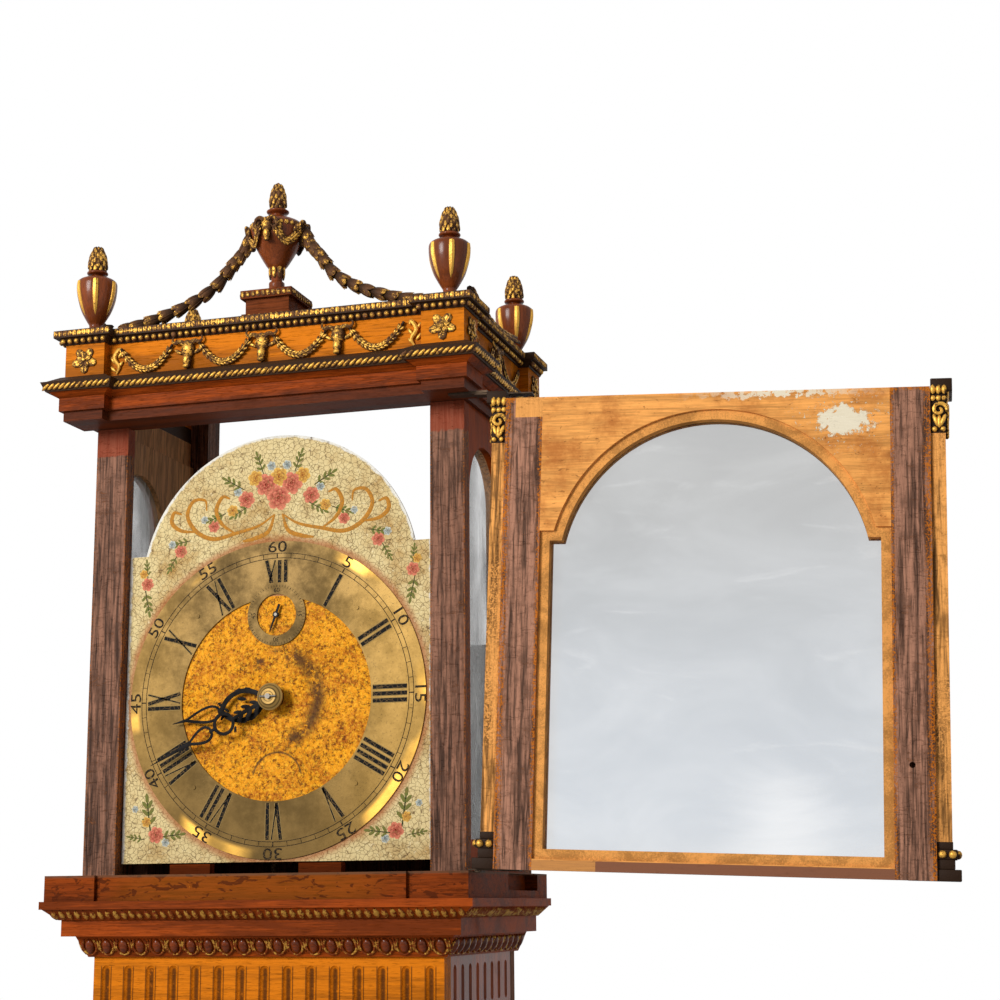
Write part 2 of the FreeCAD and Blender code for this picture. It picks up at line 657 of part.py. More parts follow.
side_y = ("trunk_frame - trunk_front", "back_plane - back_board")
trunk_side = box(("trunk_half - trunk_board", "trunk_half"), side_y, ("plinth_top - trunk_lap", "crown_top"))
room = val(span(side_y)) - val("flute_start") - val("flute_radius")
side_flutes = []
for i in range(int(room // val("flute_pitch")) + 1):
    side_flutes += flute("trunk_half + " + flute_in, side_y[0] + " + flute_start + %d * flute_pitch" % i)
node("trunk_sides", pair(cut(trunk_side, *side_flutes)))

frame_y = ("-trunk_front", "trunk_frame - trunk_front")
frame = wide("trunk_half", frame_y, ("plinth_top - trunk_lap", "frieze_base"))
node("trunk_front_frame", cut(frame, wide("opening_half", past(frame_y), ("opening_base", "opening_top"))))

each_side = int((val("trunk_half") - val("flute_margin")) // val("flute_pitch"))
front_flutes = []
for i in range(-each_side, each_side + 1):
    front_flutes += flute("%d * flute_pitch" % i, "-trunk_front - " + flute_in)
node("fluted_frieze", cut(wide("trunk_half", frame_y, ("frieze_base", "crown_top")), *front_flutes))

crown_steps = [
    ("bead_out", "bead_out", ("frieze_base - frieze_bead", "frieze_base")),
    ("bead_out", "egg_out", ("frieze_top", "fascia_base")),
    ("fascia_out", "fascia_out", ("fascia_base", "fascia_top")),
    ("fascia_out + band_step", "crown_out - band_step", ("fascia_top", "band_top")),
    ("crown_out", "crown_out", ("band_top", "crown_top")),
]
crown = []
for low, high, z in crown_steps:
    crown.append(cut(trunk_course(low, high, z), bore("trunk_half", "trunk_front", z)))
node("crown_mouldings", group(*crown))

# Seat: cheeks, board slotted for the lines and the pendulum, its bolts and the blocks under the dial.
cheek_x = ("trunk_half - trunk_board - cheek_board", "trunk_half - trunk_board")
seat_low = "seat_top - seat_board_thick"
seat_z = (seat_low, "seat_top")
cheek_y = ("cheek_front", "back_plane - back_board")
node("seat_cheeks", pair(box(cheek_x, cheek_y, ("opening_top", seat_low))))
board = wide("trunk_half - trunk_board", ("cheek_front", "back_plane - back_board - seat_setback"), seat_z)
slot_y = ("rope_plane - slot_margin", "rope_plane + slot_margin")
line_slot = wide("sprocket_pitch + slot_margin", slot_y, past(seat_z))
rod_slot = wide("rod_slot_half", ("pendulum_plane - rod_slot_front", "back_plane"), past(seat_z))
bolt_y = "front_plate_back + pillar_length / 2"
bolt_holes = []
fasteners = []
for bolt_x in ("-pillar_spread", "pillar_spread"):
    bolt_holes.append(round_bar("z", "bolt_radius", past(seat_z), bolt_x, bolt_y))
    washer_z = (seat_low + " - washer_thick", seat_low)
    head_z = (washer_z[0] + " - bolt_head_thick", washer_z[0])
    shank_z = (washer_z[0], "seat_top + pillar_rise - pillar_radius")
    shank = round_bar("z", "bolt_radius", shank_z, bolt_x, bolt_y)
    fasteners.append(fuse(shank, round_bar("z", "bolt_head", head_z, bolt_x, bolt_y)))
    washer_hole = round_bar("z", "bolt_radius", past(washer_z), bolt_x, bolt_y)
    fasteners.append(cut(round_bar("z", "washer_radius", washer_z, bolt_x, bolt_y), washer_hole))
block_y = ("0", "dial_face")
block_z = ("crown_top", "dial_base - block_gap")
blocks = [box((first, last), block_y, block_z) for first, last in ((-98, -58), (29, 70))]
node("seat_board", group(cut(board, line_slot, rod_slot, *bolt_holes), *fasteners, *blocks))

# Trunk door with its lip moulding, and its fittings.
panel_y = ("-trunk_front - face_gap", "trunk_frame - trunk_front")
panel = wide("opening_half - door_gap", panel_y, ("opening_base + door_gap", "opening_top - door_gap"))
lip_y = ("-trunk_front - face_gap - lip_thick", "-trunk_front - face_gap")
lip = wide("opening_half + lip_over", lip_y, ("opening_base - lip_over", "opening_top + lip_over"))
lip_hole_z = ("opening_base - lip_over + lip_wide", "opening_top + lip_over - lip_wide")
lip_hole = wide("opening_half + lip_over - lip_wide", past(lip_y), lip_hole_z)
node("trunk_door_panel", fuse(panel, cut(lip, lip_hole)))

hinge_x = "opening_half + lip_over + knuckle_radius + knuckle_clear"
hinge_y = "-trunk_front - face_gap - knuckle_radius"
moving = []
fixed = []
for level in ("opening_base + hinge_inset", "opening_top - hinge_inset"):
    knuckle_z = (level, level + " + knuckle_length")
    knuckle = round_bar("z", "knuckle_radius", knuckle_z, hinge_x, hinge_y)
    leaf_y = (hinge_y + " - hinge_leaf / 2", hinge_y + " + hinge_leaf / 2")
    leaf = box(("opening_half + lip_over", hinge_x), leaf_y, knuckle_z)
    eye = round_bar("z", "hinge_pin + running_gap", past(knuckle_z), hinge_x, hinge_y)
    moving.append(cut(fuse(knuckle, leaf), eye))
    low_z = (knuckle_z[0] + " - face_gap - fixed_knuckle", knuckle_z[0] + " - face_gap")
    high_z = (knuckle_z[1] + " + face_gap", knuckle_z[1] + " + face_gap + fixed_knuckle")
    pieces = [round_bar("z", "hinge_pin", (low_z[0], high_z[1]), hinge_x, hinge_y)]
    for end_z in (low_z, high_z):
        pieces.append(round_bar("z", "knuckle_radius", end_z, hinge_x, hinge_y))
        pieces.append(box((hinge_x, hinge_x + " + hinge_foot"), (hinge_y, "-trunk_front"), end_z))
    fixed.append(fuse(*pieces))
node("trunk_hinge_pins", group(*fixed))
knob_z = "(opening_base + opening_top) / 2"
knob_x = "knob_inset - opening_half - lip_over"
knob_y = lip_y[0] + " - knob_reach"
stalk_y = (knob_y, lip_y[0] + " - knob_plate")
knob_plate = round_bar("y", "knob_radius", (stalk_y[1], lip_y[0]), knob_x, knob_z)
stalk = round_bar("y", "knob_stalk", stalk_y, knob_x, knob_z)
knob = fuse(knob_plate, stalk, ball("knob_radius", knob_x, knob_y, knob_z))
node("trunk_door_fittings", group(knob, *moving))

# Movement frame: plates, pillars riveted in the back plate, and the back cock.
centre = val("centre_height")
great_z = val("great_height")
escape_z = val("seconds_height")
pallet_z = val("pallet_height")
front_face, front_back = val("front_plate_face"), val("front_plate_back")
rear_face, rear_back = val("back_plate_face"), val("back_plate_back")
shaft_ends = (front_back + 1, rear_face - 1)
gap = val("running_gap")
third_x = val("third_offset")
third_rise = val("seconds_rise / 2 + third_lift")
third_z = centre + third_rise
stud_x = -val("motion_distance")
pivots = [(0, great_z, "great_pivot"), (0, centre, "centre_pivot")]
pivots += [(third_x, third_z, "third_pivot"), (0, escape_z, "escape_pivot")]
pivot_holes = [(x, z, val(name) + gap) for x, z, name in pivots]


def movement_plate(start, end, holes):
    shape = block(0, val("plate_half"), (start, end), (val("seat_top"), val("plate_top")))
    for x, z, radius in holes:
        shape = shape.cut(bar(radius, start - 1, end + 1, x, z))
    return shape


stud_tip = front_face - 19
pallet_hole = (0, pallet_z, val("pallet_pivot") + gap)
front_shape = movement_plate(front_face, front_back, pivot_holes + [pallet_hole])
coded("front_plate", front_shape.fuse(bar(val("stud_radius"), stud_tip, front_face, stud_x, centre)))
crutch_hole = val("pallet_shaft") + 2.9
back_shape = movement_plate(rear_face, rear_back, pivot_holes + [(0, pallet_z, crutch_hole)])
for x in (-val("pillar_spread"), val("pillar_spread")):
    for z in (val("seat_top + pillar_rise"), val("plate_top - pillar_drop")):
        back_shape = back_shape.fuse(bar(val("pillar_radius"), front_back, rear_face, x, z))
coded("back_plate", back_shape)
cock_face = rear_back + val("cock_depth")
cock_back = cock_face + val("cock_thick")
cock_z = (pallet_z - val("cock_low"), pallet_z + val("cock_high"))
cock = block(0, val("cock_half"), (cock_face, cock_back), cock_z)
leg_half = val("cock_leg") / 2
for x in (leg_half - val("cock_half"), val("cock_half") - leg_half):
    cock = cock.fuse(block(x, leg_half, (rear_back, cock_face), cock_z))
cock = cock.cut(bar(val("pallet_pivot") + gap, rear_back, cock_back + 1, 0, pallet_z))
chop_z = (pallet_z - val("chop_low"), pallet_z + val("chop_low"))
cock = cock.fuse(block(0, val("chop_half"), (cock_back, cock_back + val("chop_deep")), chop_z))
coded("back_cock", cock)

# Dial: break-arch plate on four feet, chapter ring with its rivets, seconds ring.
dial_y = ("dial_face", "dial_face + dial_thick")
square = wide("dial_half", dial_y, ("dial_base", "dial_shoulder"))
arch = round_bar("y", "dial_arch", dial_y, "0", "dial_crown - dial_arch")
arch = common(arch, wide("dial_half", dial_y, ("dial_shoulder", "dial_crown + 1")))
dial_feet = []
for x in ("-dial_foot_spread", "dial_foot_spread"):
    for z in ("centre_height - dial_foot_low", "centre_height + dial_foot_high"):
        dial_feet.append(round_bar("y", "dial_foot_radius", (dial_y[1], "front_plate_face"), x, z))
hand_hole = round_bar("y", "hour_pipe + hand_hole_gap", past(dial_y), "0", "centre_height")
seconds_hole = round_bar("y", "escape_pivot + hand_hole_gap", past(dial_y), "0", "seconds_height")
node("dial_plate", cut(fuse(square, arch, *dial_feet), hand_hole, seconds_hole))
ring_y = ("dial_face - ring_thick", "dial_face")
chapter = round_bar("y", "ring_outer", ring_y, "0", "centre_height")
chapter_hole = round_bar("y", "ring_outer - ring_wide", past(ring_y), "0", "centre_height")
chapter_notch = round_bar("y", "seconds_outer", past(ring_y), "0", "seconds_height")
rivet_y = (ring_y[0] + " - rivet_height", ring_y[0])
rivets = []
for x in ("-rivet_spread", "rivet_spread"):
    for z in ("centre_height - rivet_spread", "centre_height + rivet_spread"):
        rivets.append(round_bar("y", "rivet_radius", rivet_y, x, z))
node("chapter_ring", fuse(cut(chapter, chapter_hole, chapter_notch), *rivets))
small_ring = round_bar("y", "seconds_outer", ring_y, "0", "seconds_height")
small_hole = round_bar("y", "seconds_outer - seconds_wide", past(ring_y), "0", "seconds_height")
node("seconds_ring", cut(small_ring, small_hole))


# Going train: toothed outlines that start with a tooth, or a gap, towards the wheel they mesh with.
def gear(teeth, module, ends, x, z, facing, tooth, gap_first=False):
    rise, sink, low, middle, high = tooth
    step = 2 * math.pi / teeth
    first = facing + (step / 2 if gap_first else 0)
    flank = [(-sink, -low), (0, -middle), (rise, -high), (rise, high), (0, middle), (-sink, low)]
    points = []
    for i in range(teeth):
        for reach, turn in flank:
            radius = module * (teeth / 2 + reach)
            angle = first + (i + turn) * step
            points.append((x + radius * math.cos(angle), z + radius * math.sin(angle)))
    return plate(points, *ends)


# Four arms left standing in a wheel between its hub and its rim.
def crossed(shape, ends, x, z, hub, rim):
    arm_half = 2.5
    ring = bar(rim, *ends, x, z).cut(bar(hub, *ends, x, z))
    for angle in (45, 135):
        arm = block(0, rim + 1, ends, (-arm_half, arm_half))
        arm.rotate(Vector(), BACK, angle)
        arm.translate(Vector(x, 0, z))
        ring = ring.cut(arm)
    return shape.cut(ring)


# A wheel's Y range: where it starts behind the front plate, or before the back plate, and its thickness.
def behind(start, thick):
    return front_back + start, front_back + start + thick


def before(start, thick):
    return rear_face - start, rear_face - start + thick


def arbor(shaft, pivot_name, x, z, front_end=front_face):
    return [bar(val(shaft), *shaft_ends, x, z), bar(val(pivot_name), front_end, rear_back, x, z)]


great_wheel_y, centre_pinion_y = behind(9, 4), behind(5, 12)
centre_wheel_y, third_pinion_y = before(13, 3), before(17, 11)
third_wheel_y, escape_pinion_y = behind(25, 3), behind(21, 12)
escape_wheel_y, anchor_y = before(8, 2.5), before(9, 4)
great_module = val("great_module")
centre_module = 2 * math.hypot(third_x, third_rise) / (CENTRE_TEETH + THIRD_LEAVES)
third_module = 2 * math.hypot(third_x, val("seconds_rise") - third_rise) / (THIRD_TEETH + ESCAPE_LEAVES)
up = math.pi / 2
third_way = math.atan2(third_rise, third_x)
escape_way = math.atan2(escape_z - third_z, -third_x)
dial_front = val("dial_face")

wheel = gear(GREAT_TEETH, great_module, great_wheel_y, 0, great_z, up, WHEEL_TOOTH)
wheel = crossed(wheel, great_wheel_y, 0, great_z, 12, 24 * great_module)
coded("great_wheel", join(wheel, *arbor("great_shaft", "great_pivot", 0, great_z)))

rope_y = val("rope_plane")
line_x = val("sprocket_pitch")
drum_y = (rope_y - val("sprocket_half"), rope_y + val("sprocket_half"))
flange = val("flange_thick")
drum = bar(line_x - val("rope_radius") - val("face_gap"), *drum_y, 0, great_z)
for start in (drum_y[0], drum_y[1] - flange):
    drum = drum.fuse(bar(line_x + val("flange_out"), start, start + flange, 0, great_z))
coded("rope_sprocket", drum.cut(bar(val("great_shaft") + gap, drum_y[0] - 1, drum_y[1] + 1, 0, great_z)))

pinion = gear(CENTRE_LEAVES, great_module, centre_pinion_y, 0, centre, -up, LEAF, True)
wheel = gear(CENTRE_TEETH, centre_module, centre_wheel_y, 0, centre, third_way, WHEEL_TOOTH)
wheel = crossed(wheel, centre_wheel_y, 0, centre, 9, 24 * centre_module)
arbor_end = dial_front - val("arbor_stand")
pin_length = 16
pin_seat = Vector(-pin_length / 2, arbor_end + 1.2, centre)
taper_pin = Part.makeCylinder(0.9, pin_length, pin_seat, ACROSS)
centre_solids = arbor("centre_shaft", "centre_pivot", 0, centre, arbor_end)
coded("centre_arbor", join(pinion, wheel, taper_pin, *centre_solids))

pinion = gear(THIRD_LEAVES, centre_module, third_pinion_y, third_x, third_z, third_way + math.pi, LEAF, True)
wheel = gear(THIRD_TEETH, third_module, third_wheel_y, third_x, third_z, escape_way, WHEEL_TOOTH)
wheel = crossed(wheel, third_wheel_y, third_x, third_z, 8, 23 * third_module)
coded("third_arbor", join(pinion, wheel, *arbor("third_shaft", "third_pivot", third_x, third_z)))

pinion = gear(ESCAPE_LEAVES, third_module, escape_pinion_y, 0, escape_z, escape_way + math.pi, LEAF, True)
escape_radius = val("escape_radius")
points = []
for i in range(ESCAPE_TEETH):
    for share, turn in ((0.77, 0.0), (1, 0.06), (0.77, 0.1)):
        angle = 2 * math.pi * i / ESCAPE_TEETH + turn
        radius = share * escape_radius
        points.append((radius * math.sin(angle), escape_z + radius * math.cos(angle)))
wheel = crossed(plate(points, *escape_wheel_y), escape_wheel_y, 0, escape_z, 6, 0.65 * escape_radius)
escape_end = dial_front - val("second_stand") - 0.4
escape_solids = arbor("escape_shaft", "escape_pivot", 0, escape_z, escape_end)
coded("escape_arbor", join(pinion, wheel, *escape_solids))

# Motion work in front of the front plate, each range given in front of that plate.
cannon_module = 2 * val("motion_distance") / (CANNON_TEETH + MINUTE_TEETH)
hour_module = 2 * val("motion_distance") / (MINUTE_LEAVES + HOUR_TEETH)
cannon_radius = val("cannon_radius")
hour_pipe = val("hour_pipe")
cannon_y = (front_face - 8, front_face - 5)
minute_front = dial_front - val("minute_stand")
hour_front = dial_front - val("hour_stand")
wheel = gear(CANNON_TEETH, cannon_module, cannon_y, 0, centre, math.pi, WHEEL_TOOTH)
pipe = bar(cannon_radius, minute_front - 1, front_face - 4, 0, centre)
collet = bar(val("collet_radius"), minute_front - 2, minute_front, 0, centre)
dome_seat = Vector(0, minute_front - 2, centre)
dome = Part.makeCone(val("collet_radius"), 0.56 * val("collet_radius"), 3.5, dome_seat, -BACK)
cannon = join(wheel, pipe, collet, dome)
coded("cannon_wheel", cannon.cut(bar(val("centre_pivot"), arbor_end, front_face, 0, centre)))
wheel = gear(MINUTE_TEETH, cannon_module, cannon_y, stud_x, centre, 0, WHEEL_TOOTH, True)
pinion = gear(MINUTE_LEAVES, hour_module, (front_face - 17, cannon_y[0]), stud_x, centre, 0, WHEEL_TOOTH)
stud_hole = bar(val("stud_radius") + gap, stud_tip, front_face, stud_x, centre)
coded("minute_wheel", join(wheel, pinion).cut(stud_hole))
hour_wheel_y = (front_face - 15, front_face - 12.5)
wheel = gear(HOUR_TEETH, hour_module, hour_wheel_y, 0, centre, math.pi, WHEEL_TOOTH, True)
pipe = bar(hour_pipe, hour_front - 0.3, front_face - 11, 0, centre)
cannon_hole = bar(cannon_radius + gap, hour_front - 1, front_face, 0, centre)
coded("hour_wheel", join(wheel, pipe).cut(cannon_hole))


# A serpentine hand: a waving blade that narrows to its point, and a round boss.
def hand(length, waves, sway, root, tip, boss, hole, ends, degrees, z):
    steps = 48
    left = []
    right = []
    for i in range(steps + 1):
        t = i / steps
        along = boss * 0.7 + (length - boss * 0.7) * t
        offset = sway * math.sin(2 * math.pi * waves * t) * (1 - t)
        half = root + (tip - root) * t
        left.append((offset - half, along))
        right.append((offset + half, along))
    blade = plate(left + right[::-1], *ends).fuse(bar(boss, *ends, 0, 0))
    blade = blade.cut(bar(hole, ends[0] - 1, ends[1] + 1, 0, 0))
    blade.rotate(Vector(), BACK, degrees)
    blade.translate(UP * z)
    return blade


minute_y = (minute_front, minute_front + val("minute_thick"))
hour_y = (hour_front, hour_front + val("hour_thick"))
second_front = dial_front - val("second_stand")
second_y = (second_front, second_front + val("second_thick"))
minute_turn, hour_turn, second_turn = val("minute_angle"), val("hour_angle"), val("second_angle")
minute = hand(val("minute_length"), 2, 6, 3.2, 0.8, 9, cannon_radius, minute_y, minute_turn, centre)
coded("minute_hand", minute)
hour = hand(val("hour_length"), 1.5, 7, 3.8, 0.9, 11, hour_pipe, hour_y, hour_turn, centre)
coded("hour_hand", hour)
second_hole = val("escape_pivot")
second = hand(val("second_length"), 0, 0, 1.1, 0.4, 3, second_hole, second_y, second_turn, escape_z)
tail = hand(val("second_length") * 0.6, 0, 0, 1.1, 1.1, 3, second_hole, second_y, second_turn + 180, escape_z)
coded("seconds_hand", second.fuse(tail))

# Anchor on its arbor, with the crutch that drives the pendulum. Its outline is in escape wheel radii.
half_anchor = [(0, 0.23), (0.15, 0.19), (0.58, -0.04), (1.04, -0.69), (0.885, -0.81), (0.77, -0.615)]
half_anchor += [(0.42, -0.19), (0, -0.15)]
outline = half_anchor + [(-x, z) for x, z in half_anchor[-2:0:-1]]
anchor_points = [(escape_radius * x, pallet_z + escape_radius * z) for x, z in outline]
anchor = plate(anchor_points, *anchor_y)
pallet_shaft = bar(val("pallet_shaft"), front_back + 1, cock_face - 1, 0, pallet_z)
pallet_pivots = bar(val("pallet_pivot"), front_face, cock_back - 1, 0, pallet_z)
swing_y = val("pendulum_plane")
crutch_front = rear_back + 10
crutch_low = pallet_z - val("crutch_length")
crutch = block(0, 2.5, (crutch_front, crutch_front + 4), (crutch_low, pallet_z))
fork_half = val("rod_radius + fork_gap")
fork_z = (crutch_low, crutch_low + 6)
fork = block(0, fork_half + 3.4, (crutch_front, swing_y + 8), fork_z)
slot = block(0, fork_half, (crutch_front + 8, swing_y + 9), (fork_z[0] - 1, fork_z[1] + 1))
coded("pallet_anchor", join(anchor, pallet_shaft, pallet_pivots, crutch, fork.cut(slot)))

# Pendulum: suspension spring and rod, lens bob, rating nut.
bob_z = pallet_z - val("pendulum_length")
rod_radius = val("rod_radius")
bob_radius = val("bob_radius")
spring_top = chop_z[0] - val("face_gap")
spring_low = spring_top - val("spring_length")
spring = block(0, 3.5, (swing_y - 0.3, swing_y + 0.3), (spring_low, spring_top))
rod_top = block(0, 4.5, (swing_y - 3, swing_y + 3), (spring_low - 8, spring_low + 1))
rod_end = bob_z - bob_radius - val("rod_tail")
rod = Part.makeCylinder(rod_radius, spring_low - 6 - rod_end, Vector(0, swing_y, rod_end))
coded("pendulum_rod", join(rod, rod_top, spring))
bob_half = val("bob_thick") / 2
lens_radius = (bob_radius ** 2 + bob_half ** 2) / (2 * bob_half)
front_dome = Part.makeSphere(lens_radius, Vector(0, swing_y + lens_radius - bob_half, bob_z))
back_dome = Part.makeSphere(lens_radius, Vector(0, swing_y - lens_radius + bob_half, bob_z))
rod_hole = Part.makeCylinder(rod_radius, 2 * bob_radius + 20, Vector(0, swing_y, bob_z - bob_radius - 10))
coded("pendulum_bob", front_dome.common(back_dome).cut(rod_hole))
nut_z = bob_z - bob_radius - val("face_gap + nut_height")
nut = Part.makeCylinder(val("nut_radius"), val("nut_height"), Vector(0, swing_y, nut_z))
nut_hole = Part.makeCylinder(rod_radius, val("nut_height") + 2, Vector(0, swing_y, nut_z - 1))
coded("rating_nut", nut.cut(nut_hole))


# Weights on one line over the sprocket.
def hung_weight(label, radius, length, base, x):
    body = Part.makeCylinder(radius, length, Vector(x, rope_y, base))
    rounded = body.makeFillet(radius * 0.3, [e for e in body.Edges if len(e.Vertexes) == 1])
    neck_top = base + length - 1 + val("eye_length")
    neck = Part.makeCylinder(val("eye_radius"), val("eye_length"), Vector(x, rope_y, base + length - 1))
    coded(label, rounded.fuse(neck))
    return neck_top


def hanging_line(label, x, low):
    coded(label, Part.makeCylinder(val("rope_radius"), great_z - low, Vector(x, rope_y, low)))


weight_sizes = (val("weight_radius"), val("weight_length"), val("weight_base"))
hanging_line("weight_line", -line_x, hung_weight("driving_weight", *weight_sizes, -line_x))
counter_sizes = (val("counter_radius"), val("counter_length"), val("counter_base"))
hanging_line("counter_line", line_x, hung_weight("counterweight", *counter_sizes, line_x))
loop = Part.makeTorus(line_x, val("rope_radius"), Vector(0, rope_y, great_z), BACK, -180, 180, 360)
upper = block(0, 2 * line_x, (rope_y - 10, rope_y + 10), (great_z, great_z + 2 * line_x))
coded("line_over_sprocket", loop.common(upper))

# Hood: base rails, posts, side panels with round-headed windows and their glass.
rail_z = ("crown_top", "rail_top")
front_rail = wide("rail_half", ("-rail_front", "-rail_back"), rail_z)
side_rail = box(("rail_inner", "rail_half"), ("-rail_back", "back_plane"), rail_z)
groove_x = ("rail_half - groove_inset - groove_wide", "rail_half - groove_inset")
groove = box(groove_x, ("-rail_front - 1", "groove_depth - rail_front"), past(rail_z))
recess_y = ("recess_start", "recess_start + recess_length")
recess_z = ("crown_top + recess_rise", "rail_top - recess_lid")
recess = box(("rail_half - recess_depth", "rail_half + 1"), recess_y, recess_z)
leaf_y = ("-hinge_forward - strap_wide / 2", "strap_wide / 2 - hinge_forward")
leaf_seat = box(("rail_half - leaf_hold", "rail_half + 1"), leaf_y, ("rail_top - leaf_thick", "rail_top + 1"))
rails = fuse(front_rail, side_rail, mirror(side_rail))
node("hood_base_rails", cut(rails, groove, mirror(groove), recess, mirror(recess), leaf_seat))

post_z = ("rail_top", "soffit")
front_post = box(("post_inner", "post_outer"), ("0", "post_deep"), post_z)
rear_y = ("back_plane - rear_post_deep", "back_plane")
rear_post = box(("rail_inner", "post_outer"), rear_y, post_z)
rear_top = box(("rail_inner", "hollow_half"), rear_y, ("soffit", "frieze_high"))
node("hood_posts", group(pair(front_post), pair(fuse(rear_post, rear_top))))


def window(x):
    low_y = ("window_middle - window_radius", "window_middle + window_radius")
    spring_line = "window_crown - window_radius"
    round_head = round_bar("x", "window_radius", x, "window_middle", spring_line)
    return fuse(box(x, low_y, ("window_base", spring_line)), round_head)


panel_x = ("post_outer - side_board", "post_outer")
side_panel = box(panel_x, ("post_deep", rear_y[0]), post_z)
node("hood_side_panels", pair(cut(side_panel, window(past(panel_x)))))
pane_x = panel_x[0] + " + pane_setback"
node("hood_side_glasses", pair(window((pane_x, pane_x + " + pane_thick"))))


# Hood head: each course runs round the front and sides and breaks forward over the corner blocks.
def course(low, high, z):
    half, front = "main_half + %s", "main_front + %s"
    pieces = [ring_piece(half % low, front % low, half % high, front % high, z)]
    outer, ahead = "main_half + block_out", "main_front + block_out"

    def block_range(out, rear):
        x = ("%s - block_wide - %s" % (outer, out), "%s + %s" % (outer, out))
        if rear:
            return x, ("back_plane - block_wide - %s" % out, "back_plane")
        return x, ("-(%s) - %s" % (ahead, out), "block_wide - (%s) + %s" % (ahead, out))

    for rear in (False, True):
        x, y = block_range(low, rear)
        x_top, y_top = block_range(high, rear)
        pieces.append(wedge(x, y, x_top, y_top, z))
        pieces.append(wedge(mirrored_range(x), y, mirrored_range(x_top), y_top, z))
    return cut(fuse(*pieces), wide("hollow_half", ("hollow_front", "back_plane + 1"), past(z)))


# Courses stacked from a level: how far each stands out below and above, and its height.
def stacked(level, steps):
    pieces = []
    for low, high, rise in steps:
        top = level + " + " + rise
        pieces.append(course(low, high, (level, top)))
        level = top
    return pieces


architrave_steps = [
    ("0", "0", "architrave_low"),
    ("step_out", "step_out", "architrave_middle"),
    ("cove_low_out", "cove_high_out", "architrave_high"),
]
rope_steps = [("rope_low_out", "rope_out", "rope_low"), ("rope_turn_out", "rope_high_out", "rope_high")]
cap_steps = [("pearl_low_out", "pearl_high_out", "pearl_height"), ("cap_out", "cap_out", "cap_height")]
node("hood_architrave", group(*stacked("soffit", architrave_steps)))
node("hood_frieze", course("0", "0", ("frieze_low", "frieze_high")))
node("hood_gilt_mouldings", group(*stacked("rope_base", rope_steps), *stacked("frieze_high", cap_steps)))
node("hood_roof_board", wide("hollow_half", ("hollow_front", "back_plane"), ("frieze_high", "roof_top")))

# Urns, pedestal and garlands on the hood's top.
corner_outline = [(0, 0), (0.57, 0), (0.57, 0.043), (0.36, 0.076), (0.33, 0.12), (0.43, 0.163), (0.69, 0.283)]
corner_outline += [(0.93, 0.435), (1, 0.543), (0.95, 0.609), (0.57, 0.652), (0.44, 0.674), (0.44, 0.717)]
corner_outline += [(0.36, 0.728), (0.45, 0.804), (0.4, 0.891), (0.24, 0.967), (0.057, 1), (0, 1)]
urn_x = "main_half + block_out - urn_inset"
corner_urns = []
for urn_y in ("urn_inset - main_front - block_out", "back_plane - urn_inset"):
    urn = turned(corner_outline, "corner_urn_radius", "corner_urn_height", urn_x, urn_y, "roof_top")
    corner_urns.append(pair(urn))
node("corner_urns", group(*corner_urns))
centre_outline = [(0, 0), (0.43, 0), (0.43, 0.035), (0.3, 0.061), (0.29, 0.113), (0.2, 0.13), (0.29, 0.191)]
centre_outline += [(0.27, 0.252), (0.43, 0.296), (0.71, 0.417), (0.93, 0.539), (1, 0.617), (1, 0.67)]
centre_outline += [(0.79, 0.696), (0.36, 0.722), (0.36, 0.748), (0.25, 0.757), (0.28, 0.826), (0.23, 0.904)]
centre_outline += [(0.043, 1), (0, 1)]
centre_place = ("0", "-pedestal_forward", "pedestal_top")
node("centre_urn", turned(centre_outline, "centre_urn_radius", "centre_urn_height", *centre_place))


def pedestal_part(out, z):
    reach = "pedestal_half + %s" % out
    return wide(reach, ("-pedestal_forward - (%s)" % reach, "(%s) - pedestal_forward" % reach), z)


foot_top, cap_base = "roof_top + pedestal_foot", "pedestal_top - pedestal_cap"
pedestal = [
    pedestal_part("pedestal_foot_out", ("roof_top", foot_top)),
    pedestal_part("0", (foot_top, cap_base)),
    pedestal_part("pedestal_cap_out", (cap_base, "pedestal_top")),
]
node("urn_pedestal", fuse(*pedestal))

roof = val("roof_top")
thick = val("garland_radius")
rest = thick + val("face_gap")
flank = val("main_half")
front_path = [(31, -3, 78), (41, -4, 69), (60, -7, 46), (83, -10, 30), (109, -14, 18), (134, -18, rest + 3)]
front_path.append((149, -20, rest))
side_path = [(flank - 1, y, z) for y, z in ((8, 22), (40, 12), (85, rest), (130, 9), (160, 14))]
garlands = []
for path in (front_path, side_path):
    for hand_side in (1, -1):
        garlands.append(stem([(hand_side * x, y, roof + z) for x, y, z in path], thick))
coded("leaf_garlands", Part.makeCompound(garlands))

# Applied ornament on the frieze: heads, swags between them, rosettes on the blocks.
middle = val("(frieze_low + frieze_high) / 2")
face = -val("main_front")
swag_radius = val("swag_radius")
swag_out = swag_radius + 0.1
head_wide, head_deep, head_tall = val("head_wide"), val("head_deep"), val("head_tall")
ornament = []


# An egg-shaped mask, of which the half outside the frieze is kept.
def mask(x, y, across):
    matrix = FreeCAD.Matrix()
    matrix.scale(head_wide if across else head_deep, head_deep if across else head_wide, head_tall)
    egg = Part.makeSphere(1).transformGeometry(matrix)
    egg.translate(Vector(x, y, middle - 1))
    return egg


def swag(first, last, level, across):
    drop = [(first, 10), ((first + last) / 2, -8), (last, 10)]
    if across:
        return stem([(a, level, middle + z) for a, z in drop], swag_radius)
    return stem([(level, a, middle + z) for a, z in drop], swag_radius)


def rosette(x, y, way):
    return Part.makeCylinder(val("rosette_radius"), val("rosette_thick"), Vector(x, y, middle), way)


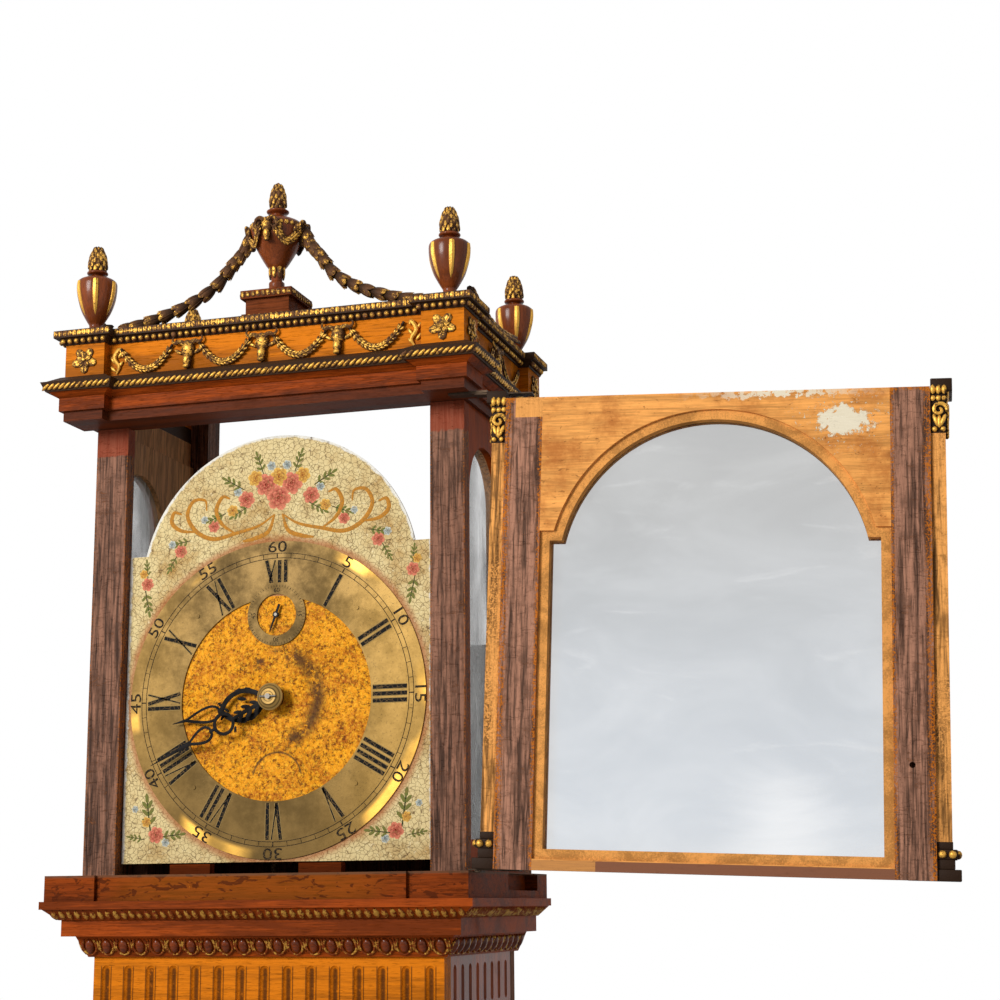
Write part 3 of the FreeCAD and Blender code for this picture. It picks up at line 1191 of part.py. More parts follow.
core = block(0, flank, (face, val("back_plane")), (middle - 2 * head_tall, middle + 2 * head_tall))
head_pitch = 76
for x in (-head_pitch, 0, head_pitch):
    ornament.append(mask(x, face, True).cut(core))
for first in (-146, -65, 11, 87):
    ornament.append(swag(first, first + 54, face - swag_out, True))
block_face = val("main_half + block_out")
block_middle = val("block_wide") / 2
front_block = face - val("block_out")
for way in (-1, 1):
    ornament.append(mask(way * flank, 84, False).cut(core))
    for first in (10, 96):
        ornament.append(swag(first, first + 62, way * (flank + swag_out), False))
    ornament.append(rosette(way * (block_face - block_middle), front_block, -BACK))
    for y in (front_block + block_middle, val("back_plane") - block_middle):
        ornament.append(rosette(way * block_face, y, ACROSS * way))
coded("frieze_ornaments", Part.makeCompound(ornament))

# Hinge line of the hood door: it leans outward at the top, so the open door hangs low at its free edge.
lean = math.radians(val("door_lean"))
hinge_foot = Vector(val("door_axis"), -val("hinge_forward"), val("door_datum"))
hinge_line = Vector(math.sin(lean), 0, math.cos(lean))
swung = FreeCAD.Placement(Vector(), FreeCAD.Rotation(hinge_line, val("door_swing")), hinge_foot)
soffit = val("soffit")
rail_top = val("rail_top")
end_gap = 0.2


def pivot(radius, low, high):
    start = hinge_foot + hinge_line * ((low - hinge_foot.z) / hinge_line.z)
    return Part.makeCylinder(radius, (high - low) / hinge_line.z, start, hinge_line)


# A flat strap from a given X to just past the hinge line.
def strap(start, low, high):
    end = hinge_foot.x + (high - hinge_foot.z) * math.tan(lean) + val("strap_reach")
    half = val("strap_wide") / 2
    y = (hinge_foot.y - half, hinge_foot.y + half)
    return block((start + end) / 2, (end - start) / 2, y, (low, high))


leaf_start = val("rail_half - leaf_hold")
leaf_hole = pivot(val("pivot_radius") + gap, val("crown_top"), soffit + 5)
leaves = [strap(leaf_start, soffit - val("upper_leaf"), soffit)]
leaves.append(strap(leaf_start, rail_top - val("leaf_thick"), rail_top))
coded("hood_hinge_leaves", Part.makeCompound([leaf.cut(leaf_hole) for leaf in leaves]))

# Hood door, drawn shut and then swung open about its hinge line.
door_nodes = []


def door_node(label, item):
    door_nodes.append(node(label, item))


door_y = ("-door_inner_face - door_thick", "-door_inner_face")
stile = box(("stile_inner", "stile_outer"), door_y, ("door_base", "door_top"))
lock_y = ("-door_inner_face - lock_depth", "1 - door_inner_face")
lock = round_bar("y", "lock_radius", lock_y, "-stile_inner - lock_inset", "door_base + lock_rise")
door_node("door_stiles", group(stile, cut(mirror(stile), lock)))


# The glazed light: straight below its ears, arched above them.
def light(inset, y):
    low_z = ("door_base + bottom_rail + %s" % inset, "door_spring - %s" % inset)
    low = wide("stile_inner - %s" % inset, y, low_z)
    round_top = round_bar("y", "door_arch - %s" % inset, y, "0", "door_crown - door_arch")
    head = common(round_top, wide("stile_inner", y, ("door_spring - top_rail_lap", "door_top")))
    return fuse(low, head)


rail_base = "door_spring - top_rail_lap"
top_rail = wide("stile_inner", door_y, (rail_base, "door_top"))
low_rail = wide("stile_inner", door_y, ("door_base", "door_base + bottom_rail"))
lip_y = (door_y[0], door_y[0] + " + lip_deep")
edge_y = past(door_y)
lip_frame = wide("stile_inner", lip_y, ("door_base + bottom_rail", rail_base))
lip_frame = cut(lip_frame, light("bead_wide", edge_y))
top_rail = cut(top_rail, light("0", (lip_y[1], edge_y[1])), light("bead_wide", edge_y))
door_node("door_rails", fuse(top_rail, low_rail, lip_frame))
glass_y = (lip_y[1], lip_y[1] + " + pane_thick")
door_node("door_glass", light("0", glass_y))
bead_y = (glass_y[1], "-door_inner_face - bead_setback")
door_node("door_beads", cut(light("0", bead_y), light("bead_wide", past(bead_y))))

shaft_z = ("base_top", "capital_base")
shaft = box(("pilaster_inner", "pilaster_outer"), ("-pilaster_front", door_y[0]), shaft_z)
shaft_side = box(("stile_outer", "pilaster_outer"), (door_y[0], "-pilaster_back"), shaft_z)
door_node("door_pilasters", pair(fuse(shaft, shaft_side)))


# A block round the pilaster's front and outer side, given by how far it stands out below and above.
def carving(low, high, z):
    x, y = [], []
    for out in (low, high):
        x.append(("pilaster_inner - %s / 2" % out, "pilaster_outer + %s" % out))
        y.append(("-pilaster_front - %s / 2" % out, "-pilaster_back"))
    return wedge(x[0], y[0], x[1], y[1], z)


capital = [
    carving("1", "1", ("capital_base", "capital_base + neck_ring")),
    carving("0", "carving_out", ("capital_base + neck_ring", "capital_top - abacus")),
    carving("(carving_out + 1)", "(carving_out + 1)", ("capital_top - abacus", "capital_top")),
]
torus_z = ("base_top - base_torus - base_fillet", "base_top - base_fillet")
foot = [
    carving("carving_out", "carving_out", ("door_base", "door_base + base_plinth")),
    carving("3", "2", ("door_base + base_plinth", torus_z[0])),
    carving("carving_out", "carving_out", torus_z),
    carving("2", "1", (torus_z[1], "base_top")),
]
door_body = box(("0", "stile_outer"), door_y, ("door_base", "door_top"))
door_node("door_carvings", group(*[pair(cut(fuse(*stack), door_body)) for stack in (capital, foot)]))

strap_start = val("pilaster_inner")
pivot_radius = val("pivot_radius")
sheet = val("strap_thick")
upper_z = val("capital_top")
lower_z = val("door_base")
upper_pivot = pivot(pivot_radius, upper_z, soffit - end_gap)
upper_strap = strap(strap_start, upper_z, upper_z + sheet).fuse(upper_pivot)
lower_pivot = pivot(pivot_radius, rail_top - val("leaf_thick") + end_gap, lower_z)
lower_strap = strap(strap_start, lower_z - sheet, lower_z).fuse(lower_pivot)
door_nodes.append(coded("door_hinge_straps", Part.makeCompound([upper_strap, lower_strap])))

doc.recompute()
for item in door_nodes:
    item.Placement = swung.multiply(item.Placement)
doc.recompute()

# Every piece must be sound before it is written.
for item in doc.Objects:
    if "Invalid" in item.State or "Error" in item.State:
        raise RuntimeError("%s failed: %s" % (item.Label, item.State))
for item in nodes:
    shape = item.Shape
    if shape.isNull() or not shape.isValid() or not shape.Solids:
        raise RuntimeError("%s has no sound solid" % item.Label)
    shape.exportStep("parts/%s.step" % item.Label)
print("wrote %d pieces" % len(nodes))
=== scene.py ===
"""The looks of a longcase clock with a carved and gilt hood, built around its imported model."""

import json
import math

import bmesh
import bpy
from bpy.props import FloatProperty, FloatVectorProperty, IntProperty, PointerProperty
from mathutils import Matrix, Vector
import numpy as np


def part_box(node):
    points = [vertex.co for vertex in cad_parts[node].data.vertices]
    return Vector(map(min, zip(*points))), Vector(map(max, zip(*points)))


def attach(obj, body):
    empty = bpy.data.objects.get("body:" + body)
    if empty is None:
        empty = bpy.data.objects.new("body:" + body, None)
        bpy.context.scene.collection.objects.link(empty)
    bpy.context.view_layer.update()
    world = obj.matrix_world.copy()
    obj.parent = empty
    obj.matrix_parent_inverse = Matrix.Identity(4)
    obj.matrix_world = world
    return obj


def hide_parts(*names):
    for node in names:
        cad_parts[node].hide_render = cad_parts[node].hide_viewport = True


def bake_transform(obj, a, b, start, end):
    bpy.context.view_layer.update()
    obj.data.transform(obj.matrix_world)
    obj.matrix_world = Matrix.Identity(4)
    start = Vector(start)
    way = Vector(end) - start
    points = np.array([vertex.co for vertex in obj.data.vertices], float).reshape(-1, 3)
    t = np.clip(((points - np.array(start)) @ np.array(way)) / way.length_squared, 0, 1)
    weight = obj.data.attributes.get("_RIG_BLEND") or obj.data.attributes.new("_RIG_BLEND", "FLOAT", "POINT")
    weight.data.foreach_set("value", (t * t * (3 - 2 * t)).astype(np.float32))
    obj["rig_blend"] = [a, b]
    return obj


bl_info = {
    "name": "Longcase clock",
    "version": (1, 0, 0),
    "blender": (4, 5, 0),
    "location": "View3D > Sidebar > Clock",
    "description": "Carving, gilding, dial and woods of a longcase clock",
    "category": "Object",
}

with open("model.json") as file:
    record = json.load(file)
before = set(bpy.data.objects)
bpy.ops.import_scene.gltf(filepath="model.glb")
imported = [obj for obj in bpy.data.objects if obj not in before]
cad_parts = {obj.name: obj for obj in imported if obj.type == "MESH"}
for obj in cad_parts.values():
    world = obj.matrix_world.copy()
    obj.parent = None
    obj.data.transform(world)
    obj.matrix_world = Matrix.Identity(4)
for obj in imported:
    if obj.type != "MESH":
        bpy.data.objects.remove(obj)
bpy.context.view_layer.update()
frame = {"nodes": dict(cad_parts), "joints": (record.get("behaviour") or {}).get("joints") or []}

# Camera and lights, in metres and degrees
CAMERA_PLACE = (0.7119, -1.6455, 1.5935)
CAMERA_TURNS = (-16.62, 11.81, -0.47)
CAMERA_LENS = 69.81
LIGHTS = (("key_light", (-1.3, -2.8, 2.75), 1.1, 108), ("fill_light", (2.6, -2.2, 1.4), 2.0, 3))
LIGHT_AIM = Vector((0.05, 0, 1.8))
FLOOR_HALF = 5.5

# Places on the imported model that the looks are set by, in millimetres
TRUNK_HALF = 168.7
TRUNK_FRONT = -5.8
TRUNK_BACK = 204
FRIEZE_FRONT = -33
FRIEZE_SIDE = 191
FRIEZE_LEVEL = 2108
BLOCK_INNER = 160
BLOCK_FRONT = -43
BLOCK_SIDE = 201
BLOCK_WIDE = BLOCK_SIDE - BLOCK_INNER
BLOCK_BACK = -2
REAR_BLOCK_FRONT = 169
HEAD_BACK = 205
ROOF_LEVEL = 2137
DIAL_FACE = 9.98
RING_FACE = 8.46
HANDS_LEVEL = 1782.7
SECONDS_LEVEL = 1860.2
CAPITAL_LEVEL = 1997
EGG_LEVEL = 1560
CROWN_LEAF_LEVEL = 1588.2
ROPE_LEVEL = 2080.6
PEARL_LEVEL = 2127
CAP_LEVEL = 2133.6
FLUTE_HALF_PITCH = 11.15
LINE_TOP = 1728.7
LINE_BACK = 81
SIDE_SIGNS = (("right", 1), ("left", -1))


def tint(red, green, blue):
    """A colour given as 0 to 255 steps, as the shader takes it."""
    steps = [part / 255 for part in (red, green, blue)]
    return tuple(part / 12.92 if part <= 0.04045 else ((part + 0.055) / 1.055) ** 2.4 for part in steps)


def shade(base, share):
    """A colour made darker or lighter by a share."""
    return tuple(min(1, part * share) for part in base)


def colour(name, description, red, green, blue):
    """A colour that a user may change."""
    return FloatVectorProperty(name=name, description=description, subtype="COLOR", size=3, min=0, max=1,
                               default=tint(red, green, blue))


def length(name, description, millimetres):
    """A length that a user may change."""
    return FloatProperty(name=name, description=description, unit="LENGTH", default=millimetres / 1000)


class LongcaseColours(bpy.types.PropertyGroup):
    """Colours of the woods, metals and paint."""
    mahogany: colour("Mahogany", "Red-brown wood of the case", 142, 60, 12)
    satinwood: colour("Satinwood", "Orange wood of the friezes", 210, 116, 14)
    post: colour("Bare wood", "Rough wood behind the hood door", 136, 96, 76)
    # Paler than bare board alone: painted light falling inside the hood
    board: colour("Inner board", "Bare board inside the hood", 206, 154, 106)
    pine: colour("Pine", "Wood of the door's arched rail", 238, 164, 86)
    gold: colour("Gold leaf", "Gilding where it is whole", 226, 170, 74)
    ground: colour("Gilding ground", "Brown below the worn gilding", 66, 42, 24)
    brass: colour("Brass", "Chapter ring and movement", 168, 134, 74)
    cream: colour("Dial paint", "Ground of the painted dial", 224, 202, 146)
    orange: colour("Dial centre", "Paint inside the chapter ring", 236, 154, 22)
    urn: colour("Urn wood", "Dark polished wood of the urns", 128, 62, 26)


class LongcaseSizes(bpy.types.PropertyGroup):
    """Sizes of the carved courses and ornaments."""
    pearl: length("Pearl", "Radius of the pearls below the cap", 2.7)
    pearl_pitch: length("Pearl pitch", "Distance from pearl to pearl", 7)
    cap_pitch: length("Cap leaf pitch", "Distance from leaf to leaf on the cap", 5)
    rope_pitch: length("Rope pitch", "Distance from strand to strand of the rope", 5.8)
    rosette: length("Rosette", "Radius of the flowers on the corner blocks", 13.2)
    husk: length("Husk", "Length of each husk in the garlands", 15.5)
    husk_count: IntProperty(name="Husks", description="Husks in each garland", default=13, min=2, max=40)
    swag_drop: length("Swag drop", "Fall of the swags on the frieze", 22)


class Value:
    """One output in a finish's node tree, with plain arithmetic."""

    def __init__(self, finish, socket):
        self.finish = finish
        self.socket = socket

    def math(self, operation, first, second):
        return self.finish.node("ShaderNodeMath", {"operation": operation}, {0: first, 1: second})

    def __add__(self, other):
        return self.math("ADD", self, other)

    def __sub__(self, other):
        return self.math("SUBTRACT", self, other)

    def __rsub__(self, other):
        return self.math("SUBTRACT", other, self)

    def __mul__(self, other):
        return self.math("MULTIPLY", self, other)

    def __gt__(self, other):
        return self.math("GREATER_THAN", self, other)

    def __lt__(self, other):
        return self.math("LESS_THAN", self, other)

    def __abs__(self):
        return self.math("ABSOLUTE", self, 0)

    __radd__ = __add__
    __rmul__ = __mul__


class Finish:
    """A procedural material and the patterns made in it."""

    def __init__(self, name):
        self.material = bpy.data.materials.new(name)
        self.material.use_nodes = True
        self.tree = self.material.node_tree
        self.shader = self.tree.nodes["Principled BSDF"]
        self.place = self.node("ShaderNodeTexCoord", out="Object")

    def put(self, socket, value):
        if isinstance(value, Value):
            self.tree.links.new(value.socket, socket)
        elif socket.type == "RGBA":
            socket.default_value = (*value[:3], 1)
        else:
            socket.default_value = value

    def node(self, kind, settings=(), values=(), out=0):
        """Any node, with its settings and inputs, as the output asked for."""
        node = self.tree.nodes.new(kind)
        for key, value in dict(settings).items():
            setattr(node, key, value)
        for key, value in dict(values).items():
            self.put(node.inputs[key], value)
        return Value(self, node.outputs[out])

    def stretched(self, x, y, z):
        return self.node("ShaderNodeVectorMath", {"operation": "MULTIPLY"}, {0: self.place, 1: (x, y, z)})

    def noise(self, place, scale, detail=4, rough=0.55, bend=0):
        return self.node("ShaderNodeTexNoise", {}, {"Vector": place, "Scale": scale, "Detail": detail,
                                                    "Roughness": rough, "Distortion": bend})

    def cells(self, place, scale, feature="F1"):
        return self.node("ShaderNodeTexVoronoi", {"feature": feature}, {"Vector": place, "Scale": scale},
                         "Distance")

    def axis(self, name):
        return self.node("ShaderNodeSeparateXYZ", {}, {0: self.place}, name)

    def step(self, value, low, high):
        """From 0 at low to 1 at high, with soft ends."""
        return self.node("ShaderNodeMapRange", {"interpolation_type": "SMOOTHSTEP"},
                         {"Value": value, "From Min": low, "From Max": high})

    def patches(self, scale, detail, rough, low, high, place=None, bend=0):
        """Noise cut to patches, 0 below low and 1 above high."""
        return self.step(self.noise(place or self.place, scale, detail, rough, bend), low, high)

    def near(self, value, line, reach):
        """1 on a line, falling to 0 within a reach of it."""
        return 1 - self.step(abs(value - line), 0, reach)

    def distance(self, place, point):
        return self.node("ShaderNodeVectorMath", {"operation": "DISTANCE"}, {0: place, 1: point}, "Value")

    def away(self, x, z):
        """Distance across the clock's front from a point in millimetres."""
        return self.distance(self.stretched(1, 0, 1), (x / 1000, 0, z / 1000))

    def mix(self, share, first, second):
        return self.node("ShaderNodeMix", {"data_type": "RGBA"}, {0: share, 6: first, 7: second}, 2)

    def attribute(self, name):
        return self.node("ShaderNodeAttribute", {"attribute_name": name}, (), "Fac")

    def lay(self, height=None, depth=0.0005, strength=0.5, **values):
        """Sets the shader's sockets by name and lays a bump over it."""
        for key, value in values.items():
            self.put(self.shader.inputs[key.replace("_", " ")], value)
        if height is not None:
            bump = {"Strength": strength, "Distance": depth, "Height": height}
            self.put(self.shader.inputs["Normal"], self.node("ShaderNodeBump", {}, bump, "Normal"))
        return self

    def over(self, share, second):
        """Mixes a second colour over the colour that is laid."""
        laid = Value(self, self.shader.inputs["Base Color"].links[0].from_socket)
        return self.lay(Base_Color=self.mix(share, laid, second))


GRAIN = {"X": (0.05, 1, 1), "Y": (1, 0.05, 1), "Z": (1, 1, 0.05), "all": (0.6, 0.6, 0.6)}


def wood(name, base, along, rough=0.45, coat=0.0, contrast=0.5, figure=26.0):
    """Wood with figure, fine grain and pores along an axis."""
    made = Finish(name)
    grain = made.stretched(*GRAIN[along])
    broad = made.noise(grain, figure, 5, 0.6, 1.2)
    fine = made.noise(grain, figure * 22, 3, 0.6)
    pores = made.patches(figure * 60, 2, 0.5, 0.6, 0.72, grain)
    tone = made.step(broad * 0.6 + fine * 0.4, 0.39, 0.61)
    body = made.mix(tone, shade(base, 1 - contrast), shade(base, 1 + contrast * 0.55))
    body = made.mix(pores * 0.7, body, shade(base, 0.25))
    dirt = made.patches(21, 5, 0.65, 0.52, 0.78)
    body = made.mix(dirt * 0.5, body, shade(base, 0.4))
    return made.lay(fine * 0.5 - pores, 0.0004, 0.45, Base_Color=body, Coat_Weight=coat, Coat_Roughness=0.2,
                    Roughness=rough + broad * 0.16 + dirt * 0.15, Specular_IOR_Level=0.04)


def rough_wood(made, base, bare, edges):
    """Old rough upright timber: ridged along the grain, scuffed across it, worn bare at its edges."""
    grain = made.stretched(*GRAIN["Z"])
    ridges = made.noise(grain, 330, 4, 0.7, 0.4)
    broad = made.noise(grain, 40, 5, 0.65, 0.8)
    scuffs = made.patches(260, 6, 0.8, 0.56, 0.66, made.stretched(0.3, 1, 1), 1.5)
    blots = made.patches(52, 6, 0.7, 0.46, 0.66)
    body = made.mix(made.step(ridges * 0.7 + broad * 0.3, 0.4, 0.6), shade(base, 0.26), shade(base, 1.75))
    body = made.mix(blots * 0.6, body, shade(base, 0.4))
    body = made.mix(scuffs * blots * 0.7, body, made.mix(broad, bare, shade(base, 2.0)))
    flecks = made.step(made.noise(made.place, 640, 3, 0.7) + edges * 0.16, 0.6, 0.68)
    body = made.mix(flecks * made.step(edges, 0.2, 0.9) * 0.85, body, bare)
    return made.lay(ridges - scuffs * 0.5 + flecks * edges * 0.3, 0.0012, 0.75, Base_Color=body,
                    Roughness=0.55 + ridges * 0.25, Specular_IOR_Level=0.1)


def metal(name, base, rough=0.3, tarnish=0.5, flat=0.0, gloss=0.5):
    """Polished metal with tarnish clouds, brush lines and small dents."""
    made = Finish(name)
    clouds = made.patches(48, 6, 0.65, 0.4, 0.7)
    lines = made.noise(made.stretched(1, 1, 0.05), 700, 2)
    body = made.mix(clouds * tarnish, base, shade(base, 0.35))
    body = made.mix(lines * 0.3, body, shade(base, 0.7))
    return made.lay(lines + clouds, 0.0002, 0.25, Base_Color=body, Metallic=1 - clouds * 0.25 - flat,
                    Roughness=rough + clouds * 0.25 + lines * 0.1, Specular_IOR_Level=gloss)


def gilding(name, gold, ground, whole=0.5):
    """Gold leaf over a brown ground in patches, more of it on the raised parts as partly painted highlight,
    with painted shade darkening the bare ground in the hollows.
    """
    made = Finish(name)
    raised = made.attribute("raised")
    patches = made.noise(made.place, 130, 5, 0.7)
    spots = made.noise(made.place, 430, 4, 0.7)
    worn_to = 1.02 - whole * 0.5
    # Gold leaf in patches, favouring the raised parts: partly painted highlight
    leaf_and_highlight = made.step(raised * 0.42 + patches * 0.85 + spots * 0.7 - 0.25, worn_to, worn_to + 0.14)
    leaf = made.mix(spots, shade(gold, 0.62), shade(gold, 1.2))
    bronze = made.mix(spots, shade(ground, 0.8), shade(ground, 2.6))
    # Bare ground, darkened toward the hollows as painted shade
    worn = made.mix(made.step(raised + spots * 0.3, 0.4, 1.1), shade(ground, 0.4), bronze)
    return made.lay(spots + leaf_and_highlight * 0.6, 0.0006, 0.6, Base_Color=made.mix(leaf_and_highlight, worn, leaf),
                    Roughness=0.6 - leaf_and_highlight * 0.22, Metallic=leaf_and_highlight * 0.5, Specular_IOR_Level=0.12)


def start():
    """An empty mesh in millimetres, with a value for how far each point stands up from its ground."""
    bm = bmesh.new()
    bm.verts.layers.float.new("raised")
    return bm


def move(bm, verts, place):
    """Moves points by a matrix."""
    bmesh.ops.transform(bm, matrix=place, verts=verts)


def turn_z(degrees):
    """A turn about the outward or upright axis."""
    return Matrix.Rotation(math.radians(degrees), 4, "Z")


def lift(bm, verts, rule):
    """Sets how raised points are, from 0 in the hollows to 1 on the tops."""
    layer = bm.verts.layers.float["raised"]
    for vert in verts:
        vert[layer] = min(1, max(0, rule(vert.co)))
    return verts


LUMPS = {}


def lump(around, up):
    """A round lump of radius 1, raised toward its outer side, made once for each fineness."""
    if (around, up) not in LUMPS:
        bm = start()
        verts = bmesh.ops.create_uvsphere(bm, u_segments=around, v_segments=up, radius=1)["verts"]
        lift(bm, verts, lambda co: 0.5 + co.z * 0.5)
        LUMPS[around, up] = bpy.data.meshes.new("lump")
        bm.to_mesh(LUMPS[around, up])
        bm.free()
    return LUMPS[around, up].copy()


def ball(bm, centre, sizes, turn=None, around=8, up=5):
    """A rounded lump with its own half sizes, raised toward its outer side."""
    mesh = lump(around, up)
    mesh.transform(Matrix.Translation(centre) @ (turn or Matrix.Identity(4)) @ Matrix.Diagonal((*sizes, 1)))
    count = len(bm.verts)
    bm.from_mesh(mesh)
    bpy.data.meshes.remove(mesh)
    bm.verts.ensure_lookup_table()
    return bm.verts[count:]


def tube(bm, path, radii, sides=8, raised=0.8):
    """A round bar along a path of points, closed at both ends."""
    path = [Vector(point) for point in path]
    last = len(path) - 1
    aims = [(path[min(i + 1, last)] - path[max(i - 1, 0)]).normalized() for i in range(last + 1)]
    turn = aims[0].to_track_quat("Z", "Y")
    verts = bmesh.ops.create_circle(bm, segments=sides, radius=1)["verts"]
    edges = list({edge for vert in verts for edge in vert.link_edges})
    bmesh.ops.edgeloop_fill(bm, edges=edges)
    everything = list(verts)
    place = Matrix.Identity(4)
    for i, point in enumerate(path):
        if i:
            turn = aims[i - 1].rotation_difference(aims[i]) @ turn
            grown = bmesh.ops.extrude_edge_only(bm, edges=edges)["geom"]
            verts = [part for part in grown if isinstance(part, bmesh.types.BMVert)]
            edges = [part for part in grown if isinstance(part, bmesh.types.BMEdge)]
            everything += verts
        wanted = Matrix.Translation(point) @ turn.to_matrix().to_4x4() @ Matrix.Scale(radii[i], 4)
        move(bm, verts, wanted @ place.inverted())
        place = wanted
    bmesh.ops.edgeloop_fill(bm, edges=edges)
    return lift(bm, everything, lambda co: raised)


def turned(bm, outline, centre, steps=40):
    """A shape turned about an upright axis from an outline of (radius, height) points."""
    points = [bm.verts.new((radius, 0, height)) for radius, height in outline]
    edges = [bm.edges.new(pair) for pair in zip(points, points[1:])]
    before = set(bm.verts) - set(points)
    bmesh.ops.spin(bm, geom=points + edges, axis=(0, 0, 1), cent=(0, 0, 0), angle=math.tau, steps=steps,
                   use_merge=True)
    verts = [vert for vert in bm.verts if vert not in before]
    bmesh.ops.translate(bm, verts=verts, vec=centre)
    return verts


def swelling(path, least, most):
    """Radii along a path that swell toward its middle."""
    last = len(path) - 1
    return [least + most * math.sin(math.pi * i / last) for i in range(last + 1)]


def tapering(path, first, second):
    """Radii along a path that go evenly from a first to a second one."""
    last = len(path) - 1
    return [first + (second - first) * i / last for i in range(last + 1)]


SIDES = {
    "front": Matrix(((1, 0, 0), (0, 0, -1), (0, 1, 0))).to_4x4(),
    "right": Matrix(((0, 0, 1), (1, 0, 0), (0, 1, 0))).to_4x4(),
    "left": Matrix(((0, 0, -1), (-1, 0, 0), (0, 1, 0))).to_4x4(),
    "back": Matrix(((-1, 0, 0), (0, 0, 1), (0, 1, 0))).to_4x4(),
}


def spot(side, centre, turn=0.0, size=1.0):
    """A place on a face of the case: across to the right, up, and outward."""
    return Matrix.Translation(centre) @ SIDES[side] @ turn_z(turn) @ Matrix.Scale(size, 4)


def template(*shapes):
    """A mesh of its own for shapes given as a maker and its values."""
    bm = start()
    for maker, *values in shapes:
        maker(bm, *values)
    return bm


def stamp(bm, shape, spots):
    """Sets a copy of a template at each spot."""
    mesh = bpy.data.meshes.new("template")
    shape.to_mesh(mesh)
    shape.free()
    for place in spots:
        copy = mesh.copy()
        copy.transform(place)
        bm.from_mesh(copy)
        bpy.data.meshes.remove(copy)
    bpy.data.meshes.remove(mesh)


def along_run(side, first, last, plane, level, pitch):
    """Spots at an even pitch along a straight course."""
    count = max(1, round((last - first) / pitch))
    spots = []
    for i in range(count):
        here = first + (last - first) * (i + 0.5) / count
        spots.append(spot(side, (here, plane, level) if side == "front" else (plane, here, level)))
    return spots


def round_head(level, out, pitch):
    """Spots along a course of the hood's head, stepping out round its corner blocks."""
    spots = along_run("front", -BLOCK_INNER + out, BLOCK_INNER - out, FRIEZE_FRONT - out, level, pitch)
    for low in (-BLOCK_SIDE - out, BLOCK_INNER - out):
        spots += along_run("front", low, low + BLOCK_WIDE + out * 2, BLOCK_FRONT - out, level, pitch)
    for side, sign in SIDE_SIGNS:
        for first, last, plane in ((BLOCK_BACK + out, REAR_BLOCK_FRONT - out, FRIEZE_SIDE),
                                   (BLOCK_FRONT - out, BLOCK_BACK + out, BLOCK_SIDE),
                                   (REAR_BLOCK_FRONT - out, HEAD_BACK, BLOCK_SIDE)):
            spots += along_run(side, first, last, sign * (plane + out), level, pitch)
    return spots


def round_trunk(level, out, pitch):
    """Spots along a course round the head of the trunk."""
    spots = along_run("front", -TRUNK_HALF - out, TRUNK_HALF + out, TRUNK_FRONT - out, level, pitch)
    for side, sign in SIDE_SIGNS:
        spots += along_run(side, TRUNK_FRONT - out, TRUNK_BACK, sign * (TRUNK_HALF + out), level, pitch)
    return spots


def flowing(points, parts=6):
    """A smooth line of points through the points given."""
    points = [Vector(point) for point in points]
    ends = [points[0] * 2 - points[1], *points, points[-1] * 2 - points[-2]]
    line = []
    for before, first, last, after in zip(ends, ends[1:], ends[2:], ends[3:]):
        square = before * 2 - first * 5 + last * 4 - after
        cube = first * 3 - before - last * 3 + after
        for i in range(parts):
            share = i / parts
            line.append((first * 2 + (last - before) * share + square * share ** 2 + cube * share ** 3) / 2)
    return line + [points[-1]]


def radius_at(outline, height):
    """The radius of a turned outline at a height."""
    for (first, low), (second, high) in zip(outline, outline[1:]):
        if low <= height <= high:
            return first + (second - first) * (height - low) / max(high - low, 0.001)
    return outline[-1][0]


def radial(centre, angle, radius, height, tilt=0.0, turn=0.0):
    """A place on a turned shape: across, up, and outward from its axis."""
    face = SIDES["right"] @ Matrix.Rotation(math.radians(tilt), 4, "X") @ turn_z(turn)
    return Matrix.Translation(centre) @ turn_z(angle) @ Matrix.Translation((radius, 0, height)) @ face


SPREAD_HORN = ((3, 8, 3), (7, 9.5, 4), (11, 8.5, 4), (13.4, 11, 3.4), (12.6, 14, 3))
CURLED_HORN = ((2, 8, 4), (6.5, 10.5, 4), (11, 8, 3.4), (11.6, 2.5, 3.6), (8, 0, 4.6), (5.8, 2.6, 5.2))


def horned_head(bm, horns=SPREAD_HORN):
    """A horned mask: across, up and outward, about 28 wide and 30 high."""
    ball(bm, (0, 3, 1), (6, 8, 5), None, 12, 8)
    ball(bm, (0, -6, 3), (3.8, 6.5, 3.6), None, 10, 7)
    ball(bm, (0, -11.5, 3.6), (3.4, 2.4, 3.2), None, 10, 6)
    ball(bm, (0, 8.5, 3), (3.4, 2.6, 2.6))
    for sign in (-1, 1):
        ball(bm, (sign * 8.6, 1.6, 1.2), (4.2, 1.7, 1.4), Matrix.Rotation(sign * 0.5, 4, "Z"))
        ball(bm, (sign * 3.9, 2.6, 4.8), (1.3, 1.1, 1.1))
        horn = flowing([(sign * x, y, z) for x, y, z in horns], 3)
        tube(bm, horn, tapering(horn, 2.3, 0.6), 7, 0.75)


def leafy_line(bm, path, outward, size, spread=26.0):
    """A line of laurel leaves in threes along a path, facing outward, with a bar through them."""
    tube(bm, path, [size * 0.55] * len(path), 6, 0.2)
    for i in range(1, len(path) - 1):
        aim = (path[i + 1] - path[i - 1]).normalized()
        out = Vector(outward(path[i]))
        out = (out - aim * out.dot(aim)).normalized()
        turn = Matrix((aim.cross(out), aim, out)).transposed().to_4x4()
        for lean, push, rise in ((-spread, -0.7, 0.25), (0, 0, 0.6), (spread, 0.7, 0.25)):
            middle = path[i] + turn @ Vector((push * size, 0, size * rise))
            ball(bm, middle, (size * 0.52, size * 1.35, size * 0.42), turn @ turn_z(-lean), 6, 4)


